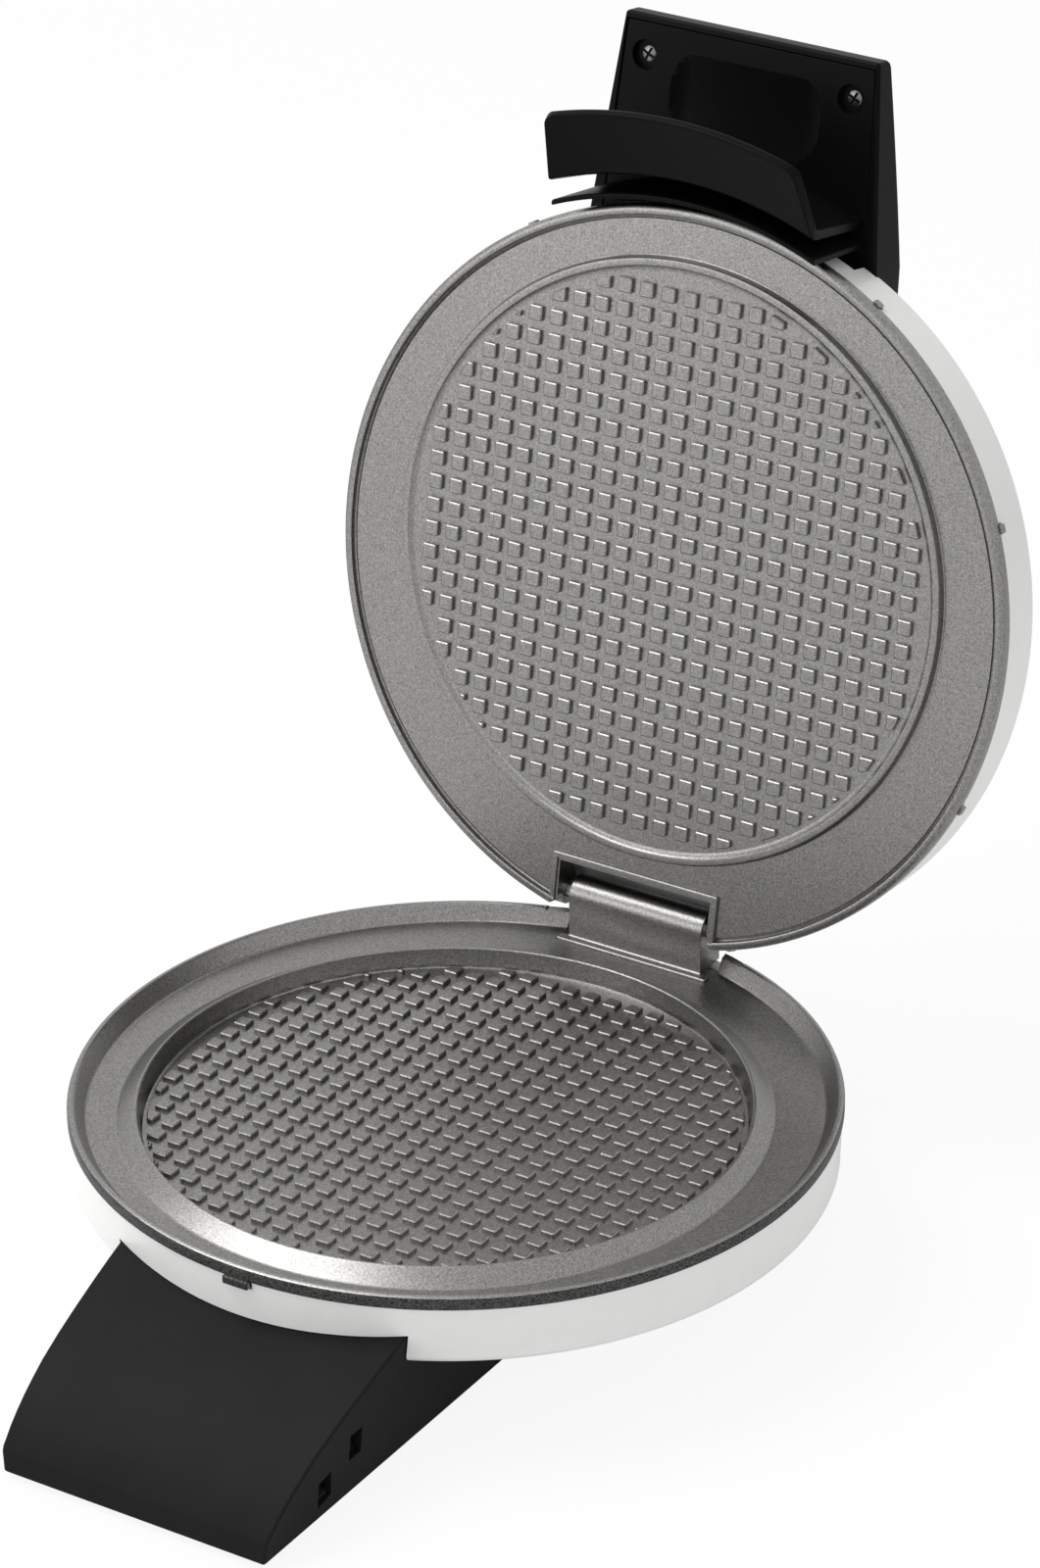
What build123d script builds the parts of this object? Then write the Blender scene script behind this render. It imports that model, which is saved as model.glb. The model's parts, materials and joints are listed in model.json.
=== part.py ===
from build123d import *
import math
import os

os.makedirs("parts", exist_ok=True)

# Stroopwafel maker, in mm. Everything is drawn with Z = 0 between the two rims and the lid closed.
# place() then opens the lid about its hinge and stands the whole maker on its rubber feet.

# Baking plates
plate_radius = 107.5
plate_thickness = 3.5
rim_gap = 0.4
rim_top = 1.9
rim_slope = 3.1
lip_depth = 4.1
rim_width = 25.0
pattern_shift = -5.5
recess_margin = 1.3
square_pitch = 7.0
groove_width = 2.2
groove_depth = 1.1
field_radius = plate_radius - rim_width
recess_radius = field_radius + recess_margin
squares_out = math.ceil(field_radius / square_pitch)

# Lower plate
channel_z = -4.9
floor_z = -7.3
crest_z = -1.2
collar_run = 7.35
crest_radius = recess_radius + recess_margin
collar_radius = crest_radius + collar_run
lower_square_z = floor_z + groove_depth + 0.05
lower_back_z = floor_z - plate_thickness
channel_back_z = channel_z - plate_thickness

# Upper plate, its face towards minus Z
ring_z = 1.4
upper_floor_z = 0.2
bead_z = -0.8
bead_width = 1.9
bead_radius = crest_radius + bead_width
upper_square_z = upper_floor_z - groove_depth - 0.05
upper_back_z = ring_z + plate_thickness

# Heating
tube_radius = 3.25
element_radius = 62.0
element_gap_angle = 24
terminal_turn = 1.5
terminal_radius = 2.2
clamp_inner = 38.0
clamp_margin = 5.5
clamp_thickness = 1.0
clamp_head = 0.9
clamp_screw_radius = 45.0
clamp_outer = element_radius + clamp_margin
terminal_angle = math.radians(element_gap_angle / 2 + terminal_turn)
terminal_half = element_radius * math.sin(terminal_angle) + terminal_radius + 1.3
terminal_y = pattern_shift + element_radius

# Screws
shaft_gap = 0.05
shank_radius = 1.5
thread_hole = shank_radius + shaft_gap
pass_hole = shank_radius + 0.2
head_radius = 3.1
head_height = 1.7
boss_radius = 4.0
counterbore_radius = head_radius + 0.4
counterbore_depth = 2.7

# Housings, one moulding for both sides
shell_reveal = 0.5
shell_draft = 0.6
shell_wall = 2.6
shell_floor = 2.0
shell_round = 2.0
spigot_clearance = 0.6
heating_room = 0.25
shell_radius = plate_radius - shell_reveal
spigot_radius = shell_radius - shell_wall - spigot_clearance
clamp_stack = 2 * tube_radius + shaft_gap + clamp_thickness + clamp_head
shell_depth = -lower_back_z + clamp_stack + heating_room + shell_floor
plate_boss_z = shell_depth - 4.5
plate_screw_angle = math.radians(29.82)
plate_screw_reach = shell_radius - 12.48
plate_screw_x = plate_screw_reach * math.cos(plate_screw_angle)
plate_screw_y = plate_screw_reach * math.sin(plate_screw_angle)
lug_half = 4.0
lug_fit = 0.4
lug_reach = plate_radius + 1.2
lug_top = lip_depth - 0.5
lug_bottom = lip_depth + 1.9
upper_lug_angles = (-59, -21, 24, 156, -159, -121)

# Hinge
hinge_inset = 6.8
hinge_z = 8.0
barrel_radius = 5.4
tongue_half = 22.1
tongue_room = 2.9
pin_radius = 2.5
ear_radius = 4.6
ear_width = 4.5
open_angle = 100.46
swing_clearance = 9.0
stop_gap = 0.09
hinge_y = plate_radius - hinge_inset
notch_half = tongue_half + tongue_room
notch_front = hinge_y - 10.8
land_width = 2.4
notch_round = 3.0
pad_half = tongue_half + 3.3
pad_front = hinge_y - 8.1
pad_height = 0.9
ear_inner = notch_half + 0.3
ear_outer = ear_inner + ear_width
hinge_window_half = ear_outer + 3.2
stop_turn = math.radians(open_angle)
stop_reach = barrel_radius + stop_gap - (shell_radius - hinge_y) * math.cos(stop_turn)
hinge_window_z = hinge_z + stop_reach / math.sin(stop_turn)

# Stand
stand_height = 29.0
stand_reach = 51.3
stand_half = 41.7
stand_flare = 0.0101
stand_draft = 5.56
stand_wall = 2.4
stand_corner = 2.5
stand_fit = 0.4
brow_height = 9.2
foot_height = 1.5
foot_radius = 7.0
cover_fit = 0.3
cover_thickness = 2.4
gland_radius = 6.0
housing_front = -shell_radius
stand_bottom = -shell_depth - stand_height
stand_front = housing_front - stand_reach
stand_back = shell_radius - 9.0
stand_step_y = housing_front + 13.0
stand_back_half = stand_half + stand_flare * (stand_back - stand_front)
gland_z = stand_bottom + 12.5

# Handle
handle_reach = 47.5
handle_wall = 2.4
handle_half_end = 40.5
handle_half = 46.3
handle_corner = 3.0
panel_rim = 1.0
panel_inset = 4.1
panel_thickness = 2.0
panel_fit = 0.3
well_radius = 4.3
well_depth = 3.8
well_wall = 1.2
notch_fit = 0.4
finger_width = 52.0
finger_length = 24.0
finger_depth = 1.2
handle_end = housing_front - handle_reach
handle_step_y = housing_front + 14.6
handle_panel_z = shell_depth - 2.4
handle_edge_z = handle_panel_z - 0.2
panel_half_end = handle_half_end - panel_rim
panel_half = handle_half - panel_inset
panel_end = handle_end + 2.2
panel_inner = handle_step_y - 2.2
handle_screw_x = handle_half_end - 7.6
handle_screw_y = handle_end + 11.5
lip_z = shell_depth - 7.9
guard_radius = shell_radius + 8.2
fin_radius = shell_radius + 5.3
fin_thickness = 1.5
lens_radius = 3.5

rim_height = -stand_bottom + foot_height
frame_shift = -3.32
hinge_axis = Axis((0, hinge_y, hinge_z), (1, 0, 0))
disc_plane = Plane.XZ.offset(-pattern_shift)
disc_axis = Axis((0, pattern_shift, 0), (0, 0, 1))


def place(part, name, on_lid=False):
    piece = part.rotate(hinge_axis, -open_angle) if on_lid else part
    piece = piece.translate((0, frame_shift, rim_height))
    piece.label = name
    export_step(piece, f"parts/{name}.step")


def corners(x, y):
    return [(x, y), (-x, y), (x, -y), (-x, -y)]


def ring_spots(radius, count, start):
    turns = [math.radians(start + 360 * i / count) for i in range(count)]
    return [(radius * math.cos(t), pattern_shift + radius * math.sin(t)) for t in turns]


def ring_slice(outer, inner, half):
    """Lines of a slice of ring about the plates' axis, on the handle's side, with its ends cut square."""
    outer_y = -math.sqrt(outer**2 - half**2)
    inner_y = -math.sqrt(inner**2 - half**2)
    ThreePointArc((-half, outer_y), (0, -outer), (half, outer_y))
    ThreePointArc((-half, inner_y), (0, -inner), (half, inner_y))
    Line((-half, outer_y), (-half, inner_y))
    Line((half, outer_y), (half, inner_y))


def waffle_field(top, up):
    """Disc of squares: its top lies at one height and its grooves are cut from there."""
    with BuildPart() as field:
        with BuildSketch(Plane.XY.offset(top)):
            with Locations((0, pattern_shift)):
                Circle(field_radius)
        extrude(amount=-up * (groove_depth + 0.6))
        half = groove_width / 2
        reach = square_pitch * (squares_out + 1)
        offsets = [square_pitch * (i + 0.5) for i in range(-squares_out, squares_out)]
        with BuildSketch(Plane.XZ.offset(-reach - pattern_shift)):
            with Locations([(x, top) for x in offsets]):
                Polygon((-half, 0), (half, 0), (0, -up * groove_depth), align=None)
        extrude(amount=2 * reach, mode=Mode.SUBTRACT)
        with BuildSketch(Plane.YZ.offset(-reach)):
            with Locations([(pattern_shift + y, top) for y in offsets]):
                Polygon((-half, 0), (half, 0), (0, -up * groove_depth), align=None)
        extrude(amount=2 * reach, mode=Mode.SUBTRACT)
    return field.part


def stand_form(grow):
    """Wedge-fronted body of the stand, grown or shrunk all round."""
    with BuildPart() as form:
        with BuildSketch(Plane.XY.offset(stand_bottom)):
            with BuildLine():
                Polyline(
                    (stand_half + grow, stand_front - grow),
                    (stand_back_half + grow, stand_back + 8),
                    (-stand_back_half - grow, stand_back + 8),
                    (-stand_half - grow, stand_front - grow),
                    close=True,
                )
            face = make_face()
            fillet(face.vertices().group_by(Axis.Y)[0], stand_corner)
        extrude(amount=stand_height + brow_height + 3.8, taper=-stand_draft)
        with BuildSketch(Plane.YZ):
            with BuildLine():
                nose = Vector(stand_front + 0.9, stand_bottom + 5.9)
                brow = Vector(housing_front - 29.0, -shell_depth - 6.4)
                step = Vector(stand_step_y, -shell_depth + brow_height)
                Line((stand_front, stand_bottom), nose)
                ThreePointArc(nose, (nose + brow) / 2 + Vector(-1.4, 0.85), brow)
                ThreePointArc(brow, (brow + step) / 2 + Vector(0, 0.8), step)
                Polyline(
                    step,
                    (stand_step_y, -shell_depth),
                    (stand_back, -shell_depth),
                    (stand_back, stand_bottom),
                    (stand_front, stand_bottom),
                )
            make_face()
            if grow:
                offset(amount=grow)
        extrude(amount=80, both=True, mode=Mode.INTERSECT)
    return form.part


def handle_form(shrink):
    """Outer form of the handle, or its hollow when it is shrunk."""
    with BuildPart() as form:
        with BuildSketch(Plane.XY.offset(handle_edge_z - 3)):
            with BuildLine():
                wide_y, full_y = housing_front + 11.0, housing_front + 35.0
                Polyline((-handle_half, full_y), (-handle_half, wide_y), (-handle_half_end, handle_end))
                Line((-handle_half_end, handle_end), (handle_half_end, handle_end))
                Polyline((handle_half_end, handle_end), (handle_half, wide_y), (handle_half, full_y))
                ThreePointArc((handle_half, full_y), (0, housing_front + 57.0), (-handle_half, full_y))
            face = make_face()
            fillet(face.vertices().group_by(Axis.Y)[0], handle_corner)
            if shrink:
                offset(amount=-shrink)
        extrude(amount=22)
        with BuildSketch(Plane.YZ):
            with BuildLine():
                end_top = Vector(handle_end, shell_depth + 3.1)
                top_front = end_top + Vector(2.6, 2.0)
                crown = Vector(housing_front + 27.0, shell_depth + 13.8)
                heel = Vector(housing_front + 57.1, shell_depth)
                ThreePointArc(end_top, end_top + Vector(0.9, 1.5), top_front)
                ThreePointArc(top_front, (top_front + crown) / 2 + Vector(2.9, 1.25), crown)
                ThreePointArc(crown, (crown + heel) / 2 + Vector(5.95, 4.0), heel)
                Polyline(
                    heel,
                    (handle_step_y, shell_depth),
                    (handle_step_y, handle_edge_z),
                    (handle_end, handle_edge_z),
                    end_top,
                )
            make_face()
            if shrink:
                offset(amount=-shrink)
        extrude(amount=80, both=True, mode=Mode.INTERSECT)
    return form.part


lower_field = waffle_field(lower_square_z, 1)
with BuildPart() as lower_plate:
    with BuildSketch(Plane.XZ):
        with BuildLine():
            rim_z = -rim_gap / 2
            Polyline(
                (plate_radius - 1.2, rim_z),
                (plate_radius - rim_top, rim_z),
                (plate_radius - rim_top - rim_slope, channel_z),
                (0, channel_z),
                (0, lower_back_z),
                (collar_radius + 2.05, lower_back_z),
                (collar_radius + 5.05, channel_back_z),
                (spigot_radius, channel_back_z),
                (spigot_radius, -lip_depth),
                (plate_radius, -lip_depth),
                (plate_radius, -1.6),
            )
            ThreePointArc((plate_radius, -1.6), (plate_radius - 0.35, -0.6), (plate_radius - 1.2, rim_z))
        make_face()
    revolve(axis=Axis.Z)
    # collar round the baking disc, then the recess inside it
    with BuildSketch(disc_plane):
        with BuildLine():
            Polyline(
                (field_radius - 1, channel_z - 1.1),
                (collar_radius, channel_z - 1.1),
                (crest_radius + 0.4, crest_z),
                (field_radius - 1, crest_z),
                close=True,
            )
        make_face()
    revolve(axis=disc_axis)
    with BuildSketch(disc_plane):
        with BuildLine():
            Polyline(
                (0, floor_z),
                (recess_radius, floor_z),
                (crest_radius, crest_z),
                (crest_radius + 0.2, 0),
                (0, 0),
                close=True,
            )
        make_face()
    revolve(axis=disc_axis, mode=Mode.SUBTRACT)
    # pad of the hinge, and the scoop that lets the lid's rim swing past
    with BuildSketch(Plane.XY.offset(channel_z - 0.1)):
        with Locations((0, pad_front)):
            Rectangle(2 * pad_half, 22, align=(Align.CENTER, Align.MIN))
    extrude(amount=8, mode=Mode.SUBTRACT)
    with BuildSketch(Plane.XY.offset(channel_z - 0.5)):
        with Locations((0, pad_front)):
            pad_depth = hinge_y - barrel_radius + 0.5 - pad_front
            Rectangle(2 * pad_half - 1.0, pad_depth, align=(Align.CENTER, Align.MIN))
    extrude(amount=pad_height + 0.5)
    with BuildSketch(Plane.YZ):
        with Locations((hinge_y, hinge_z)):
            Circle(swing_clearance)
    extrude(amount=hinge_window_half, both=True, mode=Mode.SUBTRACT)
    # tongue with the hinge barrel
    with BuildSketch(Plane.YZ):
        with Locations((hinge_y, hinge_z)):
            Circle(barrel_radius)
        with BuildLine():
            front_y, back_y = hinge_y - barrel_radius, hinge_y + barrel_radius
            shelf_y = math.sqrt(spigot_radius**2 - tongue_half**2) - 0.1
            Polyline(
                (front_y, channel_z - 1),
                (front_y, hinge_z),
                (back_y, hinge_z),
                (back_y, -lip_depth),
                (shelf_y, -lip_depth),
                (shelf_y, channel_z - 1),
                close=True,
            )
        make_face()
        with BuildLine():
            foot_z = channel_z + pad_height - 0.1
            Line((front_y, foot_z), (front_y - 1.1, foot_z))
            RadiusArc((front_y - 1.1, foot_z), (front_y, foot_z + 1.1), -1.1)
            Line((front_y, foot_z + 1.1), (front_y, foot_z))
        make_face()
    extrude(amount=tongue_half, both=True)
    with BuildSketch(Plane.YZ):
        with Locations((hinge_y, hinge_z)):
            Circle(pin_radius + shaft_gap)
    extrude(amount=tongue_half + 1, both=True, mode=Mode.SUBTRACT)
    # locating lug at the front, and the bosses behind the plate
    with BuildSketch(Plane.XY.offset(-lug_bottom)):
        with Locations((0, -lug_reach)):
            Rectangle(2 * lug_half, 6, align=(Align.CENTER, Align.MIN))
    extrude(amount=lug_bottom - lug_top)
    with BuildSketch(Plane.XY.offset(-plate_boss_z)):
        with Locations(corners(plate_screw_x, plate_screw_y)):
            Circle(boss_radius)
    extrude(amount=plate_boss_z + channel_back_z + 0.5)
    clamp_top = lower_back_z - 2 * tube_radius - shaft_gap
    with BuildSketch(Plane.XY.offset(clamp_top)):
        with Locations(ring_spots(clamp_screw_radius, 3, 90)):
            Circle(boss_radius)
    extrude(amount=lower_back_z - clamp_top + 0.5)
    with BuildSketch(Plane.XY.offset(-plate_boss_z)):
        with Locations(corners(plate_screw_x, plate_screw_y)):
            Circle(thread_hole)
    extrude(amount=8, mode=Mode.SUBTRACT)
    with BuildSketch(Plane.XY.offset(clamp_top)):
        with Locations(ring_spots(clamp_screw_radius, 3, 90)):
            Circle(thread_hole)
    extrude(amount=7, mode=Mode.SUBTRACT)
    add(lower_field)
place(lower_plate.part, "lower_plate")

upper_field = waffle_field(upper_square_z, -1)
with BuildPart() as upper_plate:
    with BuildSketch(Plane.XZ):
        with BuildLine():
            rim_z = rim_gap / 2
            Polyline(
                (plate_radius - 1.2, rim_z),
                (plate_radius - rim_top - 0.7, rim_z),
                (plate_radius - rim_top - 1.1, ring_z),
                (0, ring_z),
                (0, upper_back_z),
                (spigot_radius, upper_back_z),
                (spigot_radius, lip_depth),
                (plate_radius, lip_depth),
                (plate_radius, 1.6),
            )
            ThreePointArc((plate_radius, 1.6), (plate_radius - 0.35, 0.6), (plate_radius - 1.2, rim_z))
        make_face()
    revolve(axis=Axis.Z)
    # bead round the baking disc, then the recess inside it
    with BuildSketch(disc_plane):
        with BuildLine():
            Polyline(
                (field_radius - 1, ring_z + 1),
                (bead_radius + 0.9, ring_z + 1),
                (bead_radius, bead_z),
                (field_radius - 1, bead_z),
                close=True,
            )
        make_face()
    revolve(axis=disc_axis)
    with BuildSketch(disc_plane):
        with BuildLine():
            Polyline(
                (0, upper_floor_z),
                (recess_radius, upper_floor_z),
                (crest_radius + 0.2, bead_z),
                (crest_radius + 0.3, bead_z - 1),
                (0, bead_z - 1),
                close=True,
            )
        make_face()
    revolve(axis=disc_axis, mode=Mode.SUBTRACT)
    # raised land round the notch for the tongue
    with BuildSketch(Plane.XY.offset(rim_gap / 2)):
        with Locations((0, notch_front - land_width)):
            Rectangle(2 * (notch_half + land_width), 30, align=(Align.CENTER, Align.MIN))
        Circle(plate_radius - 1.2, mode=Mode.INTERSECT)
    extrude(amount=2)
    # ears behind the plate, one each side of the tongue
    for side in (-1, 1):
        with BuildSketch(Plane.YZ.offset(side * ear_inner)):
            with Locations((hinge_y, hinge_z)):
                Circle(ear_radius)
            with BuildLine():
                Polyline(
                    (hinge_y - 16.7, upper_back_z - 0.6),
                    (hinge_y - 2.2, hinge_z + 4.04),
                    (hinge_y, hinge_z),
                    (hinge_y + 1.2, upper_back_z - 0.6),
                    close=True,
                )
            make_face()
        extrude(amount=side * ear_width)
    with BuildSketch(Plane.XY.offset(-2)):
        with Locations((0, notch_front)):
            Rectangle(2 * notch_half, 30, align=(Align.CENTER, Align.MIN))
    extrude(amount=20, mode=Mode.SUBTRACT)
    # rounded corners where the notch runs out at the edge
    with BuildSketch(Plane.XY.offset(-2)):
        round_x = notch_half + notch_round
        round_y = math.sqrt((plate_radius - notch_round) ** 2 - round_x**2)
        for side in (-1, 1):
            with Locations((side * notch_half, round_y)):
                Rectangle(2.4 * notch_round, 3 * notch_round, align=(Align.CENTER, Align.MIN))
            with Locations((side * round_x, round_y)):
                Circle(notch_round, mode=Mode.SUBTRACT)
    extrude(amount=5.2, mode=Mode.SUBTRACT)
    with BuildSketch(Plane.YZ):
        with Locations((hinge_y, hinge_z)):
            Circle(pin_radius + shaft_gap)
    extrude(amount=ear_outer + 1, both=True, mode=Mode.SUBTRACT)
    for side in (-1, 1):
        with BuildSketch(Plane.YZ.offset(side * ear_outer)):
            with Locations((hinge_y, hinge_z)):
                Circle(ear_radius + 0.2)
        extrude(amount=side * 2.6, mode=Mode.SUBTRACT)
    # locating lugs round the edge, and the bosses behind the plate
    with BuildSketch(Plane.XY.offset(lug_top)):
        for angle in upper_lug_angles:
            with Locations(Location((0, 0, 0), (0, 0, angle))):
                with Locations((lug_reach, 0)):
                    Rectangle(6, 2 * lug_half, align=(Align.MAX, Align.CENTER))
    extrude(amount=lug_bottom - lug_top)
    with BuildSketch(Plane.XY.offset(upper_back_z - 0.5)):
        with Locations(corners(plate_screw_x, plate_screw_y)):
            Circle(boss_radius)
    extrude(amount=plate_boss_z - upper_back_z + 0.5)
    clamp_low = upper_back_z + 2 * tube_radius + shaft_gap
    with BuildSketch(Plane.XY.offset(upper_back_z - 0.5)):
        with Locations(ring_spots(clamp_screw_radius, 3, 90)):
            Circle(boss_radius)
    extrude(amount=clamp_low - upper_back_z + 0.5)
    with BuildSketch(Plane.XY.offset(plate_boss_z)):
        with Locations(corners(plate_screw_x, plate_screw_y)):
            Circle(thread_hole)
    extrude(amount=-8, mode=Mode.SUBTRACT)
    with BuildSketch(Plane.XY.offset(clamp_low)):
        with Locations(ring_spots(clamp_screw_radius, 3, 90)):
            Circle(thread_hole)
    extrude(amount=-6, mode=Mode.SUBTRACT)
    add(upper_field)
place(upper_plate.part, "upper_plate", True)


def housing_form(up):
    """Round tub of either side, with the edge windows, wells for the plate's screws and their holes."""
    with BuildPart() as tub:
        foot = shell_radius - shell_draft
        inner = shell_radius - shell_wall
        with BuildSketch(Plane.XZ):
            with BuildLine():
                Polyline(
                    (foot - shell_round, up * shell_depth),
                    (0, up * shell_depth),
                    (0, up * (shell_depth - shell_floor)),
                    (inner - 1.8, up * (shell_depth - shell_floor)),
                    (inner, up * (shell_depth - shell_floor - 1.8)),
                    (inner, up * lip_depth),
                    (shell_radius, up * lip_depth),
                    (foot, up * (shell_depth - shell_round)),
                )
                ThreePointArc(
                    (foot, up * (shell_depth - shell_round)),
                    (foot - 0.586, up * (shell_depth - 0.586)),
                    (foot - shell_round, up * shell_depth),
                )
            make_face()
        revolve(axis=Axis.Z)
        with BuildSketch(Plane.XY.offset(up * plate_boss_z)):
            with Locations(corners(plate_screw_x, plate_screw_y)):
                Circle(counterbore_radius + 1.9)
        extrude(amount=up * (shell_depth - plate_boss_z - 0.5))
        with BuildSketch(Plane.XY.offset(up * shell_depth)):
            with Locations(corners(plate_screw_x, plate_screw_y)):
                Circle(counterbore_radius)
        extrude(amount=-up * counterbore_depth, mode=Mode.SUBTRACT)
        with BuildSketch(Plane.XY.offset(up * shell_depth)):
            with Locations(corners(plate_screw_x, plate_screw_y)):
                Circle(pass_hole)
        extrude(amount=-up * 6, mode=Mode.SUBTRACT)
    return tub.part


stand_clear = stand_form(stand_fit)
base_tub = housing_form(-1)
stand_screws = corners(36.0, 69.0)
with BuildPart() as base_housing:
    add(base_tub)
    with BuildSketch(Plane.XY.offset(-shell_depth + shell_floor - 0.4)):
        with Locations(stand_screws):
            Circle(boss_radius)
    extrude(amount=6.4)
    with BuildSketch(Plane.XY.offset(-shell_depth)):
        with Locations(stand_screws):
            Circle(thread_hole)
    extrude(amount=7, mode=Mode.SUBTRACT)
    # the stand's brow enters here, so the wall ends on it
    with BuildSketch(Plane.XY.offset(-shell_depth - 1)):
        with Locations((0, stand_step_y + stand_fit)):
            Rectangle(2 * shell_radius, 40, align=(Align.CENTER, Align.MAX))
    cheek = extrude(amount=brow_height + 4.8, mode=Mode.PRIVATE)
    add(stand_clear & cheek, mode=Mode.SUBTRACT)
    with BuildSketch(Plane.XY.offset(-lug_bottom - lug_fit)):
        with Locations((0, -lug_reach - 1)):
            Rectangle(2 * (lug_half + lug_fit), 8, align=(Align.CENTER, Align.MIN))
    extrude(amount=4, mode=Mode.SUBTRACT)
    with BuildSketch(Plane.XY.offset(-shell_depth - 1)):
        with Locations((0, terminal_y)):
            Rectangle(2 * terminal_half, 16)
    extrude(amount=4, mode=Mode.SUBTRACT)
place(base_housing.part, "base_housing")

lid_tub = housing_form(1)
side_screw_x, side_screw_y = handle_half - 16.3, housing_front + 25.0
handle_screws = [(side_screw_x, side_screw_y), (-side_screw_x, side_screw_y), (0.0, housing_front + 43.0)]
with BuildPart() as lid_housing:
    add(lid_tub)
    with BuildSketch(Plane.XY.offset(lip_depth - 1)):
        for angle in upper_lug_angles:
            with Locations(Location((0, 0, 0), (0, 0, angle))):
                with Locations((lug_reach + 1, 0)):
                    Rectangle(8, 2 * (lug_half + lug_fit), align=(Align.MAX, Align.CENTER))
    extrude(amount=lug_bottom + lug_fit - lip_depth + 1, mode=Mode.SUBTRACT)
    # notch that takes the handle, and the window of the hinge, whose edge is the open stop
    with BuildSketch(Plane.XY.offset(handle_edge_z - 0.2)):
        with Locations((0, handle_step_y + notch_fit)):
            Rectangle(2 * handle_half + 1.2, 30, align=(Align.CENTER, Align.MAX))
    extrude(amount=10, mode=Mode.SUBTRACT)
    with BuildSketch(Plane.XY.offset(lip_z - notch_fit)):
        with Locations((0, handle_step_y + notch_fit)):
            Rectangle(2 * (panel_half + notch_fit), 30, align=(Align.CENTER, Align.MAX))
    extrude(amount=10, mode=Mode.SUBTRACT)
    with BuildSketch(Plane.XY.offset(lip_depth - 1)):
        with Locations((0, hinge_y - 5.7)):
            Rectangle(2 * hinge_window_half, 20, align=(Align.CENTER, Align.MIN))
    extrude(amount=hinge_window_z - lip_depth + 1, mode=Mode.SUBTRACT)
    with BuildSketch(Plane.XY.offset(shell_depth)):
        with Locations(handle_screws):
            Circle(pass_hole)
    extrude(amount=-3, mode=Mode.SUBTRACT)
place(lid_housing.part, "lid_housing", True)


# Heating elements, their clamp discs and the screws of those
for side, up, back_z in (("lower", -1, lower_back_z), ("upper", 1, upper_back_z)):
    centre_z = back_z + up * (tube_radius + shaft_gap)
    disc_z = back_z + up * (2 * tube_radius + shaft_gap)
    terminal_x = element_radius * math.sin(terminal_angle)
    terminal_end_y = pattern_shift + element_radius * math.cos(terminal_angle)
    with BuildPart() as element:
        with BuildSketch(Plane.XZ):
            with Locations((element_radius, centre_z)):
                Circle(tube_radius)
        revolve(axis=Axis.Z, revolution_arc=360 - element_gap_angle)
    loop = element.part.rotate(Axis.Z, 90 + element_gap_angle / 2).translate((0, pattern_shift, 0))
    with BuildPart() as element:
        add(loop)
        with BuildSketch(Plane.XY.offset(centre_z)):
            with Locations((terminal_x, terminal_end_y), (-terminal_x, terminal_end_y)):
                Circle(terminal_radius)
        extrude(amount=up * (11 if up < 0 else 9))
    place(element.part, f"{side}_element", up > 0)
    with BuildPart() as clamp:
        with BuildSketch(Plane.XY.offset(disc_z)):
            with Locations((0, pattern_shift)):
                Circle(clamp_outer)
                Circle(clamp_inner, mode=Mode.SUBTRACT)
            with Locations((0, terminal_y)):
                Rectangle(2 * terminal_half, 14, mode=Mode.SUBTRACT)
            with Locations((0, pattern_shift + clamp_outer)):
                Rectangle(2 * terminal_half, 14, mode=Mode.SUBTRACT)
            with Locations(ring_spots(clamp_screw_radius, 3, 90)):
                Circle(pass_hole, mode=Mode.SUBTRACT)
        extrude(amount=up * clamp_thickness)
    place(clamp.part, f"{side}_clamp_disc", up > 0)
    with BuildPart() as clamp_screws:
        with BuildSketch(Plane.XY.offset(disc_z + up * clamp_thickness)):
            with Locations(ring_spots(clamp_screw_radius, 3, 90)):
                Circle(head_radius)
        extrude(amount=up * clamp_head)
        with BuildSketch(Plane.XY.offset(disc_z + up * clamp_thickness)):
            with Locations(ring_spots(clamp_screw_radius, 3, 90)):
                Circle(shank_radius)
        extrude(amount=-up * 6)
    place(clamp_screws.part, f"{side}_clamp_screws", up > 0)
    # screws from the tub's wells up into the plate's bosses
    with BuildPart() as plate_screws:
        seat_z = up * (shell_depth - counterbore_depth)
        with BuildSketch(Plane.XY.offset(seat_z)):
            with Locations(corners(plate_screw_x, plate_screw_y)):
                Circle(head_radius)
        extrude(amount=up * head_height)
        with BuildSketch(Plane.XY.offset(seat_z)):
            with Locations(corners(plate_screw_x, plate_screw_y)):
                Circle(shank_radius)
        extrude(amount=-up * 9)
    place(plate_screws.part, f"{side}_plate_screws", up > 0)

with BuildPart() as thermal_cutout:
    with BuildSketch(Plane.XY.offset(lower_back_z)):
        with Locations((0, pattern_shift)):
            Circle(9)
    extrude(amount=-1.2)
    with BuildSketch(Plane.XY.offset(lower_back_z - 1.2)):
        with Locations((0, pattern_shift)):
            Circle(7)
    extrude(amount=-5)
place(thermal_cutout.part, "thermal_cutout")

with BuildPart() as thermostat:
    with BuildSketch(Plane.XY.offset(upper_back_z)):
        with Locations((0, pattern_shift)):
            Circle(12)
    extrude(amount=1.2)
    with BuildSketch(Plane.XY.offset(upper_back_z + 1.2)):
        with Locations((0, pattern_shift)):
            Circle(9.5)
    extrude(amount=7)
    with BuildSketch(Plane.XY.offset(upper_back_z + 8.2)):
        with Locations((0, pattern_shift)):
            Circle(3)
    extrude(amount=3)
place(thermostat.part, "thermostat", True)

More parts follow.
